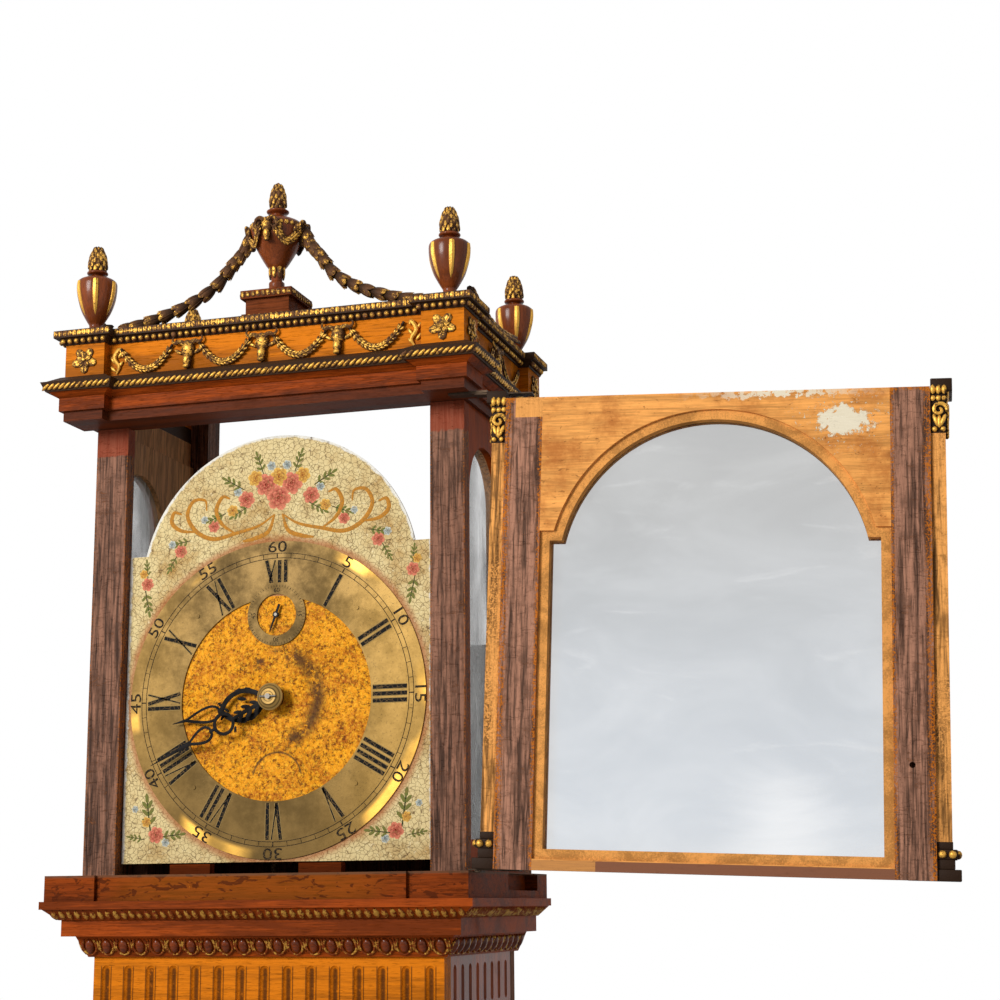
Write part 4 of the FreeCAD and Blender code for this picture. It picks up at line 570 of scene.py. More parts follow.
def rosette(bm, radius):
    """A flower of five broad outer and five inner petals, each with a rib, facing outward."""
    ball(bm, (0, 0, 2.4), (radius * 0.2, radius * 0.2, 1.8), None, 10, 6)
    for i in range(10):
        long, wide, rise = (1.0, 0.34, 0.6) if i % 2 else (0.62, 0.22, 1.7)
        turn = turn_z(36 * i)
        petal = turn @ Matrix.Rotation(0.16, 4, "X")
        out = radius * long
        ball(bm, turn @ Vector((0, out * 0.56, rise)), (radius * wide, out * 0.46, 1.2), petal, 8, 6)
        ball(bm, turn @ Vector((0, out * 0.56, rise + 1)), (radius * 0.06, out * 0.4, 0.8), petal, 6, 4)


def husk(bm, size):
    """Four ribbed leaves held in a bell, opening away from their stem."""
    tube(bm, [(0, 0, 0), (0, 0, size * 0.8)], [size * 0.18, size * 0.24], 8, 0.1)
    for i in range(4):
        spin = turn_z(90 * i)
        lean = spin @ Matrix.Rotation(0.2, 4, "Y")
        for out, sizes, around, up in ((0.21, (0.15, 0.3, 0.62), 10, 8), (0.34, (0.05, 0.05, 0.56), 6, 6)):
            middle = spin @ Vector((size * out, 0, size * 0.6))
            ball(bm, middle, [size * share for share in sizes], lean, around, up)


def cover(finish, *names):
    """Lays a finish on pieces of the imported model."""
    for name in names:
        slots = frame["nodes"][name].data.materials
        for index in range(len(slots)):
            slots[index] = finish.material


def piece(name, bm, body, slot, finish, *nodes):
    """An object of a mesh in millimetres, riding on a body if one is given, in place of the nodes named."""
    bmesh.ops.scale(bm, vec=(0.001, 0.001, 0.001), verts=bm.verts)
    bmesh.ops.remove_doubles(bm, verts=bm.verts, dist=0.000002)
    bmesh.ops.recalc_face_normals(bm, faces=bm.faces)
    for face in bm.faces:
        face.smooth = True
    mesh = bpy.data.meshes.new(name)
    bm.to_mesh(mesh)
    bm.free()
    mesh.set_sharp_from_angle(angle=math.radians(42))
    mesh.materials.append(finish.material)
    made = bpy.data.objects.new(name, mesh)
    bpy.context.scene.collection.objects.link(made)
    if body:
        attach(made, body)
    if nodes:
        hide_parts(*nodes)
    return made


def stamped(name, body, slot, finish, spots, shapes, *nodes):
    """A piece of one shape set at each of many spots."""
    bm = start()
    stamp(bm, template(*shapes), spots)
    piece(name, bm, body, slot, finish, *nodes)


class LONGCASE_OT_stage(bpy.types.Operator):
    """Sets the floor, the lights, the white surround and the camera."""
    bl_idname = "longcase.stage"
    bl_label = "Stage"

    def execute(self, context):
        scene = context.scene
        scene.view_settings.view_transform = "Standard"
        world = bpy.data.worlds.new("surround")
        scene.world = world
        world.use_nodes = True
        tree = world.node_tree
        fill = tree.nodes["Background"]
        fill.inputs["Color"].default_value = (0.25, 0.25, 0.255, 1)
        white = tree.nodes.new("ShaderNodeBackground")
        white.inputs["Color"].default_value = (1, 1, 1, 1)
        rays = tree.nodes.new("ShaderNodeLightPath")
        seen = rays.outputs["Is Camera Ray"]
        for kind in ("Is Glossy Ray", "Is Transmission Ray"):
            either = tree.nodes.new("ShaderNodeMath")
            either.operation = "MAXIMUM"
            tree.links.new(seen, either.inputs[0])
            tree.links.new(rays.outputs[kind], either.inputs[1])
            seen = either.outputs[0]
        both = tree.nodes.new("ShaderNodeMixShader")
        for index, socket in enumerate((seen, fill.outputs[0], white.outputs[0])):
            tree.links.new(socket, both.inputs[index])
        tree.links.new(both.outputs[0], tree.nodes["World Output"].inputs["Surface"])

        ground = Finish("floor")
        clouds = ground.noise(ground.place, 3, 5)
        ground.lay(Base_Color=ground.mix(clouds, tint(226, 226, 224), tint(240, 240, 239)),
                   Roughness=0.75 + clouds * 0.1)
        bm = bmesh.new()
        bmesh.ops.create_grid(bm, x_segments=1, y_segments=1, size=FLOOR_HALF)
        mesh = bpy.data.meshes.new("floor")
        bm.to_mesh(mesh)
        bm.free()
        mesh.materials.append(ground.material)
        floor = bpy.data.objects.new("floor", mesh)
        scene.collection.objects.link(floor)

        for name, place, size, power in LIGHTS:
            lamp = bpy.data.lights.new(name, "AREA")
            lamp.size = size
            lamp.energy = power
            light = bpy.data.objects.new(name, lamp)
            light.location = place
            toward = LIGHT_AIM - light.location
            light.rotation_euler = toward.to_track_quat("-Z", "Y").to_euler()
            scene.collection.objects.link(light)

        yaw, pitch, roll = (math.radians(angle) for angle in CAMERA_TURNS)
        ahead = Vector((math.sin(yaw) * math.cos(pitch), math.cos(yaw) * math.cos(pitch), math.sin(pitch)))
        right = Vector((math.cos(yaw), -math.sin(yaw), 0))
        above = right.cross(ahead)
        across = right * math.cos(roll) + above * math.sin(roll)
        upward = above * math.cos(roll) - right * math.sin(roll)
        aim = Matrix((across, upward, -ahead)).transposed().to_4x4()
        lens = bpy.data.cameras.new("camera")
        lens.sensor_width = 36
        lens.lens = CAMERA_LENS
        camera = bpy.data.objects.new("camera", lens)
        camera.matrix_world = Matrix.Translation(CAMERA_PLACE) @ aim
        scene.collection.objects.link(camera)
        scene.camera = camera
        return {"FINISHED"}


class LONGCASE_OT_case(bpy.types.Operator):
    """Finishes the plinth, the trunk, its door and the boards inside."""
    bl_idname = "longcase.case"
    bl_label = "Case"

    def execute(self, context):
        look = context.scene.longcase_colours
        cover(wood("trunk_mahogany", look.mahogany, "Z", 0.3, 0.3), "trunk_sides", "trunk_front_frame",
              "plinth_carcass", "trunk_door_panel")
        cover(wood("moulding_mahogany", shade(look.mahogany, 0.8), "X", 0.3, 0.3), "plinth_base",
              "waist_moulding")
        cover(wood("inner_boards", look.post, "Z", 0.7), "backboard", "seat_cheeks")
        cover(wood("seat_wood", shade(look.mahogany, 0.55), "X", 0.7), "seat_board")
        cover(metal("door_brass", look.brass, 0.28), "trunk_door_fittings", "trunk_hinge_pins")
        return {"FINISHED"}


def flute_finish(base):
    """Satinwood with painted shadow lines along the edges of its flutes."""
    made = wood("flute_satinwood", base, "X", 0.45, 0, 0.35, 34)
    front = made.axis("Y") < -0.004
    along = front * made.axis("X") + (1 - front) * (made.axis("Y") - 0.024)
    cycle = along.math("PINGPONG", along, FLUTE_HALF_PITCH / 1000)
    span = made.step(made.axis("Z"), 1.506, 1.5085) * (1 - made.step(made.axis("Z"), 1.5405, 1.5435))
    # Patches where the painted shadow lines are broken
    rub_mark_and_shade_breaks = made.patches(210, 5, 0.7, 0.2, 0.45)
    # Painted shadow lines along the flute edges
    return made.over(made.near(cycle, 0.0049, 0.001) * span * rub_mark_and_shade_breaks * 0.85, tint(58, 30, 10))


class LONGCASE_OT_crown(bpy.types.Operator):
    """Finishes the fluted frieze and the carved mouldings at the head of the trunk."""
    bl_idname = "longcase.crown"
    bl_label = "Crown of the trunk"

    def execute(self, context):
        look = context.scene.longcase_colours
        cover(wood("crown_mahogany", look.mahogany, "X", 0.4), "crown_mouldings")
        cover(flute_finish(shade(look.satinwood, 0.85)), "fluted_frieze")
        bronze = gilding("crown_gilt", shade(look.gold, 0.72), shade(look.mahogany, 0.4), 0.4)
        lean = Matrix.Rotation(math.radians(26), 4, "X")
        back = Matrix.Rotation(math.radians(48), 4, "X")
        egg_course = round_trunk(EGG_LEVEL, 8.2, 17.2)

        polished = wood("egg_mahogany", shade(look.mahogany, 0.55), "X", 0.25, 0.4)
        stamped("eggs", "case", "mahogany", polished, egg_course,
                [(ball, (0, 0, 0), (4.6, 8.0, 4.4), lean, 14, 9)])

        bow = []
        for i in range(11):
            turn = math.radians(i * 28 - 140)
            bow.append(lean @ Vector((7.0 * math.sin(turn), -8.2 * math.cos(turn) + 0.8, 1.2)))
        stamped("egg_cups", "case", "gilt", bronze, egg_course, [
            (tube, bow, [0.7] + [1.35] * 9 + [0.7], 6, 0.75),
            (ball, (8.6, 1, 0.6), (1.1, 7.4, 2.2), lean, 6, 5)])

        stamped("crown_leaves", "case", "gilt", bronze, round_trunk(CROWN_LEAF_LEVEL, 29.6, 7.8), [
            (ball, (0, 0, 0), (3.2, 6.6, 2.0), back, 8, 6),
            (ball, (0, 0.4, 1.5), (0.8, 6.0, 1.1), back, 6, 5),
            (ball, (3.9, 1.0, -0.2), (0.8, 5.4, 1.3), back, 6, 4)])
        return {"FINISHED"}


def burl_finish(red, orange):
    """Veneer of the hood's base: orange in the middle, red at the ends, with dark dashes, and a darker,
    greyer brown along its top.
    """
    made = wood("rail_wood", shade(red, 0.68), "X", 0.5, 0, 0.55, 30)
    ends = made.step(abs(made.axis("X")) + made.noise(made.place, 18, 3) * 0.06, 0.1, 0.2)
    made.over((1 - ends) * 0.45, shade(orange, 0.4))
    dashes = made.patches(150, 3, 0.6, 0.545, 0.6, made.stretched(0.4, 1, 1), 0.8)
    made.over(dashes * 0.8, shade(red, 0.22))
    scrapes = made.patches(300, 5, 0.75, 0.67, 0.73, made.stretched(1, 1, 0.3))
    made.over(scrapes * 0.6, shade(orange, 0.9))
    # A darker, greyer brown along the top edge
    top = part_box("hood_base_rails")[1].z
    return made.over(made.step(made.axis("Z"), top - 0.003, top - 0.001) * 0.65, tint(92, 70, 52))


def post_finish(post, bare):
    """Rough timber of the hood's posts, redder at the front joints under the head."""
    made = Finish("post_wood")
    across = abs(made.axis("X"))
    edges = made.near(across, 0.154, 0.004) + made.near(across, 0.187, 0.004)
    rough_wood(made, post, bare, edges * 0.7)
    red = made.step(made.axis("Z") + made.noise(made.place, 90, 3) * 0.01, 2.026, 2.028)
    return made.over(red * (1 - made.step(made.axis("Y"), 0.05, 0.06)) * 0.75, tint(142, 60, 34))


def bare_inside(made, board):
    """Lays bare board over the faces that look into the hood, in a colour made paler as painted light falling
    inside the hood.
    """
    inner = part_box("hood_side_panels")[1].x - 0.007
    grain = made.patches(240, 5, 0.65, 0.38, 0.62, made.stretched(1, 1, 0.1), 0.6)
    outer = made.step(abs(made.axis("X")), inner, inner + 0.001)
    inside = (1 - outer) * made.step(made.axis("Y"), 0.03, 0.034)
    # Bare board, made paler as painted light inside the hood
    return made.over(inside, made.mix(grain, shade(board, 0.6), shade(board, 1.15)))


def window_glass(base):
    """Old window glass with dust gathered in clouds and smears."""
    made = Finish("side_glass")
    clouds = made.noise(made.stretched(1, 1, 0.7), 9, 5, 0.6)
    smears = made.patches(12, 5, 0.7, 0.52, 0.72, made.stretched(5, 5, 1), 0.8)
    film = made.step(clouds, 0.3, 0.72)
    body = made.mix(film, base, shade(base, 1.35))
    body = made.mix(smears * 0.5, body, tint(232, 234, 233))
    return made.lay(clouds, 0.0003, 0.1, Base_Color=body, Roughness=0.12 + smears * 0.3,
                    Alpha=0.2 + film * 0.6 + smears * 0.3)


class LONGCASE_OT_hood(bpy.types.Operator):
    """Finishes the hood's rails, posts, sides and side glasses."""
    bl_idname = "longcase.hood"
    bl_label = "Hood frame"

    def execute(self, context):
        look = context.scene.longcase_colours
        cover(burl_finish(look.mahogany, look.satinwood), "hood_base_rails")
        cover(post_finish(shade(look.post, 0.68), shade(look.satinwood, 0.8)), "hood_posts")
        sides = wood("side_mahogany", shade(look.mahogany, 1.1), "Z", 0.45)
        cover(bare_inside(sides, look.board), "hood_side_panels")
        cover(window_glass(tint(142, 145, 140)), "hood_side_glasses")
        cover(wood("roof_pine", shade(look.pine, 0.6), "X", 0.75), "hood_roof_board")
        return {"FINISHED"}


def head_finish(base):
    """Mahogany of the architrave, with painted shade along its lower edge."""
    made = wood("head_mahogany", base, "X", 0.45, 0, 0.6, 40)
    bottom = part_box("hood_architrave")[0].z
    high = made.step(made.axis("Z") + made.noise(made.place, 60, 4) * 0.008, bottom + 0.01, bottom + 0.02)
    # Painted shade along the lower edge
    return made.over((1 - high) * 0.75, tint(58, 32, 22))


class LONGCASE_OT_head(bpy.types.Operator):
    """Finishes the hood's architrave, frieze and gilt mouldings."""
    bl_idname = "longcase.head"
    bl_label = "Head of the hood"

    def execute(self, context):
        look = context.scene.longcase_colours
        size = context.scene.longcase_sizes
        cover(bare_inside(head_finish(look.mahogany), look.board), "hood_architrave")
        cover(wood("frieze_satinwood", shade(look.satinwood, 0.88), "X", 0.45, 0, 0.42, 26), "hood_frieze")
        cover(gilding("moulding_ground", look.gold, shade(look.ground, 1.7), 0.5), "hood_gilt_mouldings")
        slant = turn_z(38)
        pearl_gilt = gilding("pearl_gilt", shade(look.gold, 0.9), shade(look.ground, 2.2), 0.42)
        pearls = round_head(PEARL_LEVEL, 4.2, size.pearl_pitch * 1000)
        stamped("pearl_row", "hood", "gilt", pearl_gilt, pearls,
                [(ball, (0, 0, 0), [size.pearl * 1000] * 3, None, 10, 7)])
        cap_gilt = gilding("cap_gilt", look.gold, shade(look.ground, 1.8), 0.42)
        stamped("cap_leaves", "hood", "gilt", cap_gilt, round_head(CAP_LEVEL, 9, size.cap_pitch * 1000),
                [(ball, (0, 0.2, 0), (2.7, 3.3, 0.7)), (ball, (0, 0, 0.6), (0.6, 3.0, 0.5), None, 6, 4)])
        rope_gilt = gilding("rope_gilt", look.gold, shade(look.ground, 1.7), 0.48)
        strands = round_head(ROPE_LEVEL, 14.2, size.rope_pitch * 1000)
        stamped("rope_strands", "hood", "gilt", rope_gilt, strands,
                [(ball, (0, 0, 0), (6.0, 1.8, 2.5), slant, 8, 6),
                 (ball, (-2.2, 3.2, -0.4), (2.2, 1.4, 1.9), slant, 6, 5)])
        return {"FINISHED"}


# Outlines of the urns as shares of their radius and height
CORNER_URN = ((0.57, 0), (0.57, 0.043), (0.36, 0.076), (0.33, 0.12), (0.45, 0.163), (0.75, 0.283),
              (0.95, 0.435), (1, 0.533), (0.95, 0.6), (0.6, 0.64), (0.3, 0.655), (0.29, 0.672),
              (0.5, 0.684), (0.5, 0.708), (0.28, 0.722), (0.4, 0.765), (0.43, 0.815), (0.37, 0.885),
              (0.22, 0.955), (0.04, 1))
CENTRE_URN = ((0.43, 0), (0.43, 0.035), (0.3, 0.061), (0.29, 0.113), (0.2, 0.13), (0.27, 0.18),
              (0.25, 0.225), (0.4, 0.265), (0.7, 0.38), (0.93, 0.495), (1, 0.56), (1, 0.605),
              (0.85, 0.64), (0.5, 0.675), (0.26, 0.695), (0.24, 0.715), (0.4, 0.73), (0.4, 0.748),
              (0.16, 0.757), (0.26, 0.8), (0.29, 0.85), (0.22, 0.93), (0.04, 1))
URN_HEIGHT = 92
URN_RADIUS = 19.4
CENTRE_URN_HEIGHT = 114.8
CENTRE_URN_RADIUS = 25.8
CENTRE_CONE = (89.125, 112.125)
PEDESTAL_TOP = Vector((0, -3, 2166))


def grown(outline, radius, height):
    """A turned outline at its real size, with its long curves made smooth."""
    line = flowing([(out * radius, up * height, 0) for out, up in outline], 3)
    return [(max(point.x, 0.05), point.y) for point in line]


def cone_scales(bm, outline, low, high, rows, around, size):
    """The scales of a pine cone over part of a turned outline."""
    for row in range(rows):
        level = low + (high - low) * (row + 0.4) / rows
        share = 1 - 0.45 * row / rows
        sizes = (size * 0.72 * share, size * 1.7 * share, size * 0.45)
        out = radius_at(outline, level) - 0.3
        turns = [360 * (i + row % 2 / 2) / around for i in range(around)]
        spots = [radial((0, 0, 0), turn, out, level, -12) for turn in turns]
        stamp(bm, template((ball, (0, 0, 0), sizes, None, 8, 6)), spots)


def urn_loop(outline, angle):
    """The fall of a garland between two masks on the centre urn."""
    loop = []
    for i in range(13):
        height = 64 - 15 * math.sin(math.pi * i / 12)
        turn = math.radians(angle + 14 + 62 * i / 12)
        reach = radius_at(outline, height) + 1.6
        loop.append(PEDESTAL_TOP + Vector((reach * math.cos(turn), reach * math.sin(turn), height)))
    return loop


class LONGCASE_OT_urns(bpy.types.Operator):
    """Makes the urns and finishes their pedestal."""
    bl_idname = "longcase.urns"
    bl_label = "Urns"

    def execute(self, context):
        look = context.scene.longcase_colours
        polished = wood("urn_mahogany", look.urn, "Z", 0.3, 0.3, 0.35)
        gilt = gilding("urn_gilt", look.gold, shade(look.ground, 1.3), 0.36)
        lined = gilding("flute_gilt", look.gold, look.ground, 0.7)
        corners = [Matrix.Translation((x, y, ROOF_LEVEL)) for x in (-181, 181) for y in (-23, 190)]
        outline = grown(CORNER_URN, URN_RADIUS, URN_HEIGHT)
        stamped("corner_urn_bodies", "hood", "mahogany", polished, corners, [(turned, outline, (0, 0, 0))],
                "corner_urns")

        path = []
        radii = []
        for i in range(12):
            level = URN_HEIGHT * (0.17 + 0.41 * i / 11)
            path.append((radius_at(outline, level) - 1.7, 0, level))
            radii.append(0.5 + 2.9 * math.sin(math.pi * (0.04 + 0.62 * i / 11)))
        lancets = start()
        stamp(lancets, template((tube, path, radii, 8, 1.0)), [turn_z(60 * (i + 0.4) - 90) for i in range(6)])
        bm = start()
        stamp(bm, lancets, corners)
        piece("corner_urn_flutes", bm, "hood", "gilt", lined)
        stamped("corner_urn_cones", "hood", "gilt", gilt, corners,
                [(cone_scales, outline, URN_HEIGHT * 0.74, URN_HEIGHT * 0.975, 6, 9, 3.6)])

        outline = grown(CENTRE_URN, CENTRE_URN_RADIUS, CENTRE_URN_HEIGHT)
        bm = start()
        turned(bm, outline, PEDESTAL_TOP)
        piece("centre_urn_body", bm, "hood", "mahogany", polished, "centre_urn")

        bm = start()
        cone_scales(bm, outline, *CENTRE_CONE, 6, 9, 3.4)
        bmesh.ops.translate(bm, verts=bm.verts, vec=PEDESTAL_TOP)
        stamp(bm, template((ball, (0, 0, 0), (2.5, 3, 1.5))),
              [radial(PEDESTAL_TOP, i * 12, CENTRE_URN_RADIUS, 67.4) for i in range(30)])
        stamp(bm, template((ball, (0, 0, 0), (2.6, 8.5, 1.6), None, 8, 6)),
              [radial(PEDESTAL_TOP, i * 45, 6.8, 25) for i in range(8)])
        stamp(bm, template((horned_head, CURLED_HORN)),
              [radial(PEDESTAL_TOP, angle, 24, 61, 10) @ Matrix.Scale(0.95, 4) for angle in (-90, 0, 180)])
        for angle in (-90, 0, 90, 180):
            loop = urn_loop(outline, angle)
            leafy_line(bm, loop, lambda point: (point.x, point.y - PEDESTAL_TOP.y, 0), 3.0)
            leaf = template((ball, (0, 0, 0), (3.0, 7.0, 2.4)),
                            (ball, (0, 0, 1.8), (0.8, 6.4, 1.2), None, 6, 5))
            out = radius_at(outline, 64) + 1
            spots = [radial(PEDESTAL_TOP, angle + side * 24, out, 64, 0, side * 40) for side in (-1, 1)]
            stamp(bm, leaf, spots)
        piece("centre_urn_gilding", bm, "hood", "gilt", gilt)

        cover(wood("pedestal_mahogany", shade(look.urn, 0.75), "X", 0.5), "urn_pedestal")
        rows = []
        for level, half in ((2162, 26), (2139.6, 25)):
            rows += along_run("front", -half, half, PEDESTAL_TOP.y - half, level, 5.4)
            for side, sign in SIDE_SIGNS:
                rows += along_run(side, PEDESTAL_TOP.y - half, PEDESTAL_TOP.y + half, sign * half, level, 5.4)
        stamped("pedestal_bands", "hood", "gilt", gilt, rows,
                [(ball, (0, 0, 0), (2.4, 3.4, 1.3), Matrix.Rotation(0.35, 4, "Z"))])
        return {"FINISHED"}


OUTWARD = {"front": (0, -1, 0), "right": (1, 0, 0), "left": (-1, 0, 0)}
HIGH_GARLAND = ((25, -3, 98), (32, -3, 83), (42, -4, 69), (60, -7, 46), (83, -10, 30), (109, -14, 18),
                (134, -18, 9.5), (149, -20, 6.4))
SIDE_GARLAND = ((8, 22), (40, 12), (85, 6.5), (130, 9), (160, 14))
END_SCROLL = ((0, -13, 1), (3, -6, 2), (-2, 2, 2.4), (1, 9, 2.4), (4, 11, 2.2), (4.6, 8, 2))


def swag_path(side, low, wide, plane, drop):
    """A hanging line along a face of the frieze."""
    path = []
    for i in range(16):
        share = i / 15
        here = low + wide * share
        level = FRIEZE_LEVEL + 10 - drop * (1 - (2 * share - 1) ** 2)
        path.append(Vector((here, plane - 2.6, level) if side == "front" else (plane * 1.014, here, level)))
    return path


class LONGCASE_OT_carving(bpy.types.Operator):
    """Makes the heads, swags, rosettes and husk garlands."""
    bl_idname = "longcase.carving"
    bl_label = "Carving"

    def execute(self, context):
        look = context.scene.longcase_colours
        size = context.scene.longcase_sizes
        gilt = gilding("carving_gilt", look.gold, shade(look.ground, 1.3), 0.38)
        bright = gilding("scroll_gilt", look.gold, look.ground, 0.8)

        bm = start()
        heads = [spot("front", (x, FRIEZE_FRONT, FRIEZE_LEVEL), 0, 1.15) for x in (-76, 0, 76)]
        heads += [spot(side, (sign * FRIEZE_SIDE, 84, FRIEZE_LEVEL), 0, 1.15) for side, sign in SIDE_SIGNS]
        stamp(bm, template((horned_head,)), heads)
        swags = [("front", x, 54, FRIEZE_FRONT) for x in (-146, -65, 11, 87)]
        swags += [(side, y, 62, sign * FRIEZE_SIDE) for side, sign in SIDE_SIGNS for y in (10, 96)]
        for side, low, wide, plane in swags:
            path = swag_path(side, low, wide, plane, size.swag_drop * 1000)
            leafy_line(bm, path, lambda point: OUTWARD[side], 2.7)
        piece("heads_and_swags", bm, "hood", "gilt", gilt, "frieze_ornaments")

        flowers = [spot("front", (x, BLOCK_FRONT, FRIEZE_LEVEL)) for x in (-180.5, 180.5)]
        for side, sign in SIDE_SIGNS:
            flowers += [spot(side, (sign * BLOCK_SIDE, y, FRIEZE_LEVEL)) for y in (-22.5, 189.5)]
        rosette_gilt = gilding("rosette_gilt", look.gold, shade(look.ground, 1.4), 0.46)
        stamped("rosettes", "hood", "gilt", rosette_gilt, flowers, [(rosette, size.rosette * 1000)])

        bm = start()
        for sign in (-1, 1):
            curl = flowing([(sign * x, y, z) for x, y, z in END_SCROLL], 4)
            scroll = template((tube, curl, swelling(curl, 1.0, 1.2), 8, 0.8))
            for x, y, turn in ((4, -4, -40), (-4, 1, 35), (4, 6, -35), (-3.4, -8, 45)):
                ball(scroll, (x, y, 1.2), (1.8, 4.4, 1.5), turn_z(turn))
            stamp(bm, scroll, [spot("front", (-sign * 151, FRIEZE_FRONT, FRIEZE_LEVEL - 1))])
        piece("end_scrolls", bm, "hood", "gilt", bright)

        bm = start()
        spots = []
        for sign in (-1, 1):
            path = flowing([(sign * x, y, ROOF_LEVEL + z) for x, y, z in HIGH_GARLAND], 4)
            for i in range(size.husk_count):
                at = i / size.husk_count * (len(path) - 2)
                first, second = path[int(at):int(at) + 2]
                aim = (second - first).to_track_quat("Z", "Y").to_matrix().to_4x4()
                spots.append(Matrix.Translation(first.lerp(second, at % 1)) @ aim @ turn_z(i * 17))
        stamp(bm, template((husk, size.husk * 1000)), spots)
        for sign in (-1, 1):
            path = flowing([(sign * 190, y, ROOF_LEVEL + z) for y, z in SIDE_GARLAND], 4)
            leafy_line(bm, path, lambda point: (sign, 0, 1), 5.0, 40)
        husk_gilt = gilding("husk_gilt", shade(look.gold, 0.9), shade(look.ground, 1.5), 0.32)
        piece("husk_garlands", bm, "hood", "gilt", husk_gilt, "leaf_garlands")
        return {"FINISHED"}


def ring_brass(base):
    """Old lacquered brass, dull and brown in clouds, darker towards the bottom, with painted reflections on
    its sides and painted highlights along its outer edge.
    """
    made = Finish("chapter_brass")
    base = tuple(part * share for part, share in zip(base, (1, 0.95, 0.74)))
    clouds = made.patches(30, 7, 0.68, 0.36, 0.7)
    specks = made.noise(made.place, 520, 4, 0.7)
    low = 1 - made.step(made.axis("Z"), 1.66, 1.8)
    pale = made.step(made.axis("X"), 0.02, 0.13)
    body = made.mix(clouds, shade(base, 0.42), shade(base, 0.2))
    # Painted reflection: lighter at the left and right sides
    body = made.mix(made.step(abs(made.axis("X")), 0.06, 0.14) * 0.4, body, shade(base, 0.9))
    # Darker towards the bottom
    body = made.mix(low * 0.5, body, shade(base, 0.3))
    # Painted reflection: lighter toward the right side
    body = made.mix(pale * 0.5, body, shade(base, 1.05))
    body = made.mix(made.step(specks, 0.55, 0.7) * 0.7, body, shade(base, 0.28))
    # Painted highlights in patches along the outer edge
    edge = made.step(made.away(0, HANDS_LEVEL), 0.1365, 0.141)
    lit = edge * made.step(made.noise(made.place, 9, 2), 0.5, 0.6)
    body = made.mix(lit * 0.8, body, tint(226, 172, 74))
    return made.lay(specks, 0.0002, 0.25, Base_Color=body, Roughness=0.36 + clouds * 0.2,
                    Metallic=0.22 + lit * 0.3, Specular_IOR_Level=0.1)


def crackle(made):
    """Fine cracks of old paint."""
    shaken = made.node("ShaderNodeVectorMath", {"operation": "MULTIPLY_ADD"}, {
        0: made.node("ShaderNodeTexNoise", {}, {"Vector": made.place, "Scale": 90, "Detail": 3}, "Color"),
        1: (0.006, 0.006, 0.006), 2: made.place})
    return 1 - made.step(made.cells(shaken, 230, "DISTANCE_TO_EDGE"), 0.01, 0.055)


def paint(name, pale, deep):
    """Old brushed paint, pale on the upper strokes and cracked with its ground."""
    made = Finish(name)
    strokes = made.noise(made.place, 480, 4, 0.65)
    upper = made.step(made.attribute("raised") * 0.6 + strokes * 0.6, 0.3, 0.85)
    body = made.mix(upper, tint(*deep), tint(*pale))
    body = made.mix(crackle(made) * 0.6, body, tint(132, 104, 62))
    return made.lay(strokes, 0.0002, 0.3, Base_Color=body, Roughness=0.5 + strokes * 0.2,
                    Specular_IOR_Level=0.06)


def dial_finish(cream, orange):
    """Cracked cream paint with a mottled orange centre, stained and chipped at its rim."""
    made = Finish("dial_paint")
    reach = made.away(0, HANDS_LEVEL)
    cracks = crackle(made)
    stains = made.patches(22, 7, 0.68, 0.42, 0.72)
    grime = made.patches(150, 5, 0.7, 0.5, 0.75)
    body = made.mix(stains * 0.9, shade(cream, 0.94), tint(170, 128, 66))
    body = made.mix(grime * 0.65, body, tint(124, 88, 42))
    body = made.mix(made.patches(260, 5, 0.75, 0.58, 0.68) * 0.5, body, tint(246, 232, 190))
    body = made.mix(cracks * (0.7 + grime * 0.3), body, tint(84, 58, 28))
    halo = 1 - made.step(reach + grime * 0.004, 0.1485, 0.156)
    body = made.mix(halo * 0.75, body, tint(170, 104, 62))

    speckle = made.patches(260, 7, 0.85, 0.47, 0.6)
    middle = made.mix(made.patches(55, 6, 0.72, 0.4, 0.7), orange, tint(168, 88, 14))
    middle = made.mix(speckle * 0.95, middle, tint(84, 36, 6))
    middle = made.mix(made.patches(300, 6, 0.8, 0.5, 0.58) * 0.6, middle, tint(252, 188, 48))
    marks = made.noise(made.place, 85, 6, 0.75)
    right = made.step(made.axis("X"), 0.004, 0.022)
    rub_mark_and_shade_breaks = made.near(reach + marks * 0.016, 0.05, 0.013) * made.step(marks + right * 0.16, 0.52, 0.64)
    middle = made.mix(rub_mark_and_shade_breaks * 0.9, middle, tint(62, 38, 24))
    arch = made.near(made.away(2.5, 1708.7), 0.024, 0.0016) * made.step(made.axis("Z"), 1.711, 1.714)
    middle = made.mix(arch * 0.85, middle, tint(66, 48, 30))
    body = made.mix(1 - made.step(reach, 0.0951, 0.0956), body, middle)

    upper = made.axis("Z") > 1.9229
    rim = upper * (made.away(0, 1892.7) - 0.1393) + (1 - upper) * (abs(made.axis("X")) - 0.1525)
    chipped = made.step(rim + made.noise(made.place, 120, 5, 0.7) * 0.007, 0.0005, 0.0022)
    body = made.mix(chipped, body, made.mix(grime, tint(226, 222, 210), tint(84, 62, 44)))
    return made.lay(cracks * -1.0 + speckle * 0.3 - chipped, 0.0004, 0.5, Base_Color=body,
                    Roughness=0.5 + stains * 0.2, Specular_IOR_Level=0.08)


HOURS = ("XII", "I", "II", "III", "IIII", "V", "VI", "VII", "VIII", "IX", "X", "XI")
LETTER_WIDTHS = {"I": 6.2, "V": 11.4, "X": 11.4}
LETTER_STROKES = {"I": ((0, 0, 3.5),), "V": ((-4.4, 4.4, 3.3), (4.4, -4.4, 1.2)),
                  "X": ((-4.4, 8.8, 3.3), (4.4, -8.8, 1.2))}
NUMERAL_HEIGHT = 33
NUMERAL_FOOT = 96
TRACK = (131, 135.5)
FIGURE_RADIUS = 141.2
SECONDS_TRACK = (26.2, 28.4)
SECONDS_FIGURE_RADIUS = 23


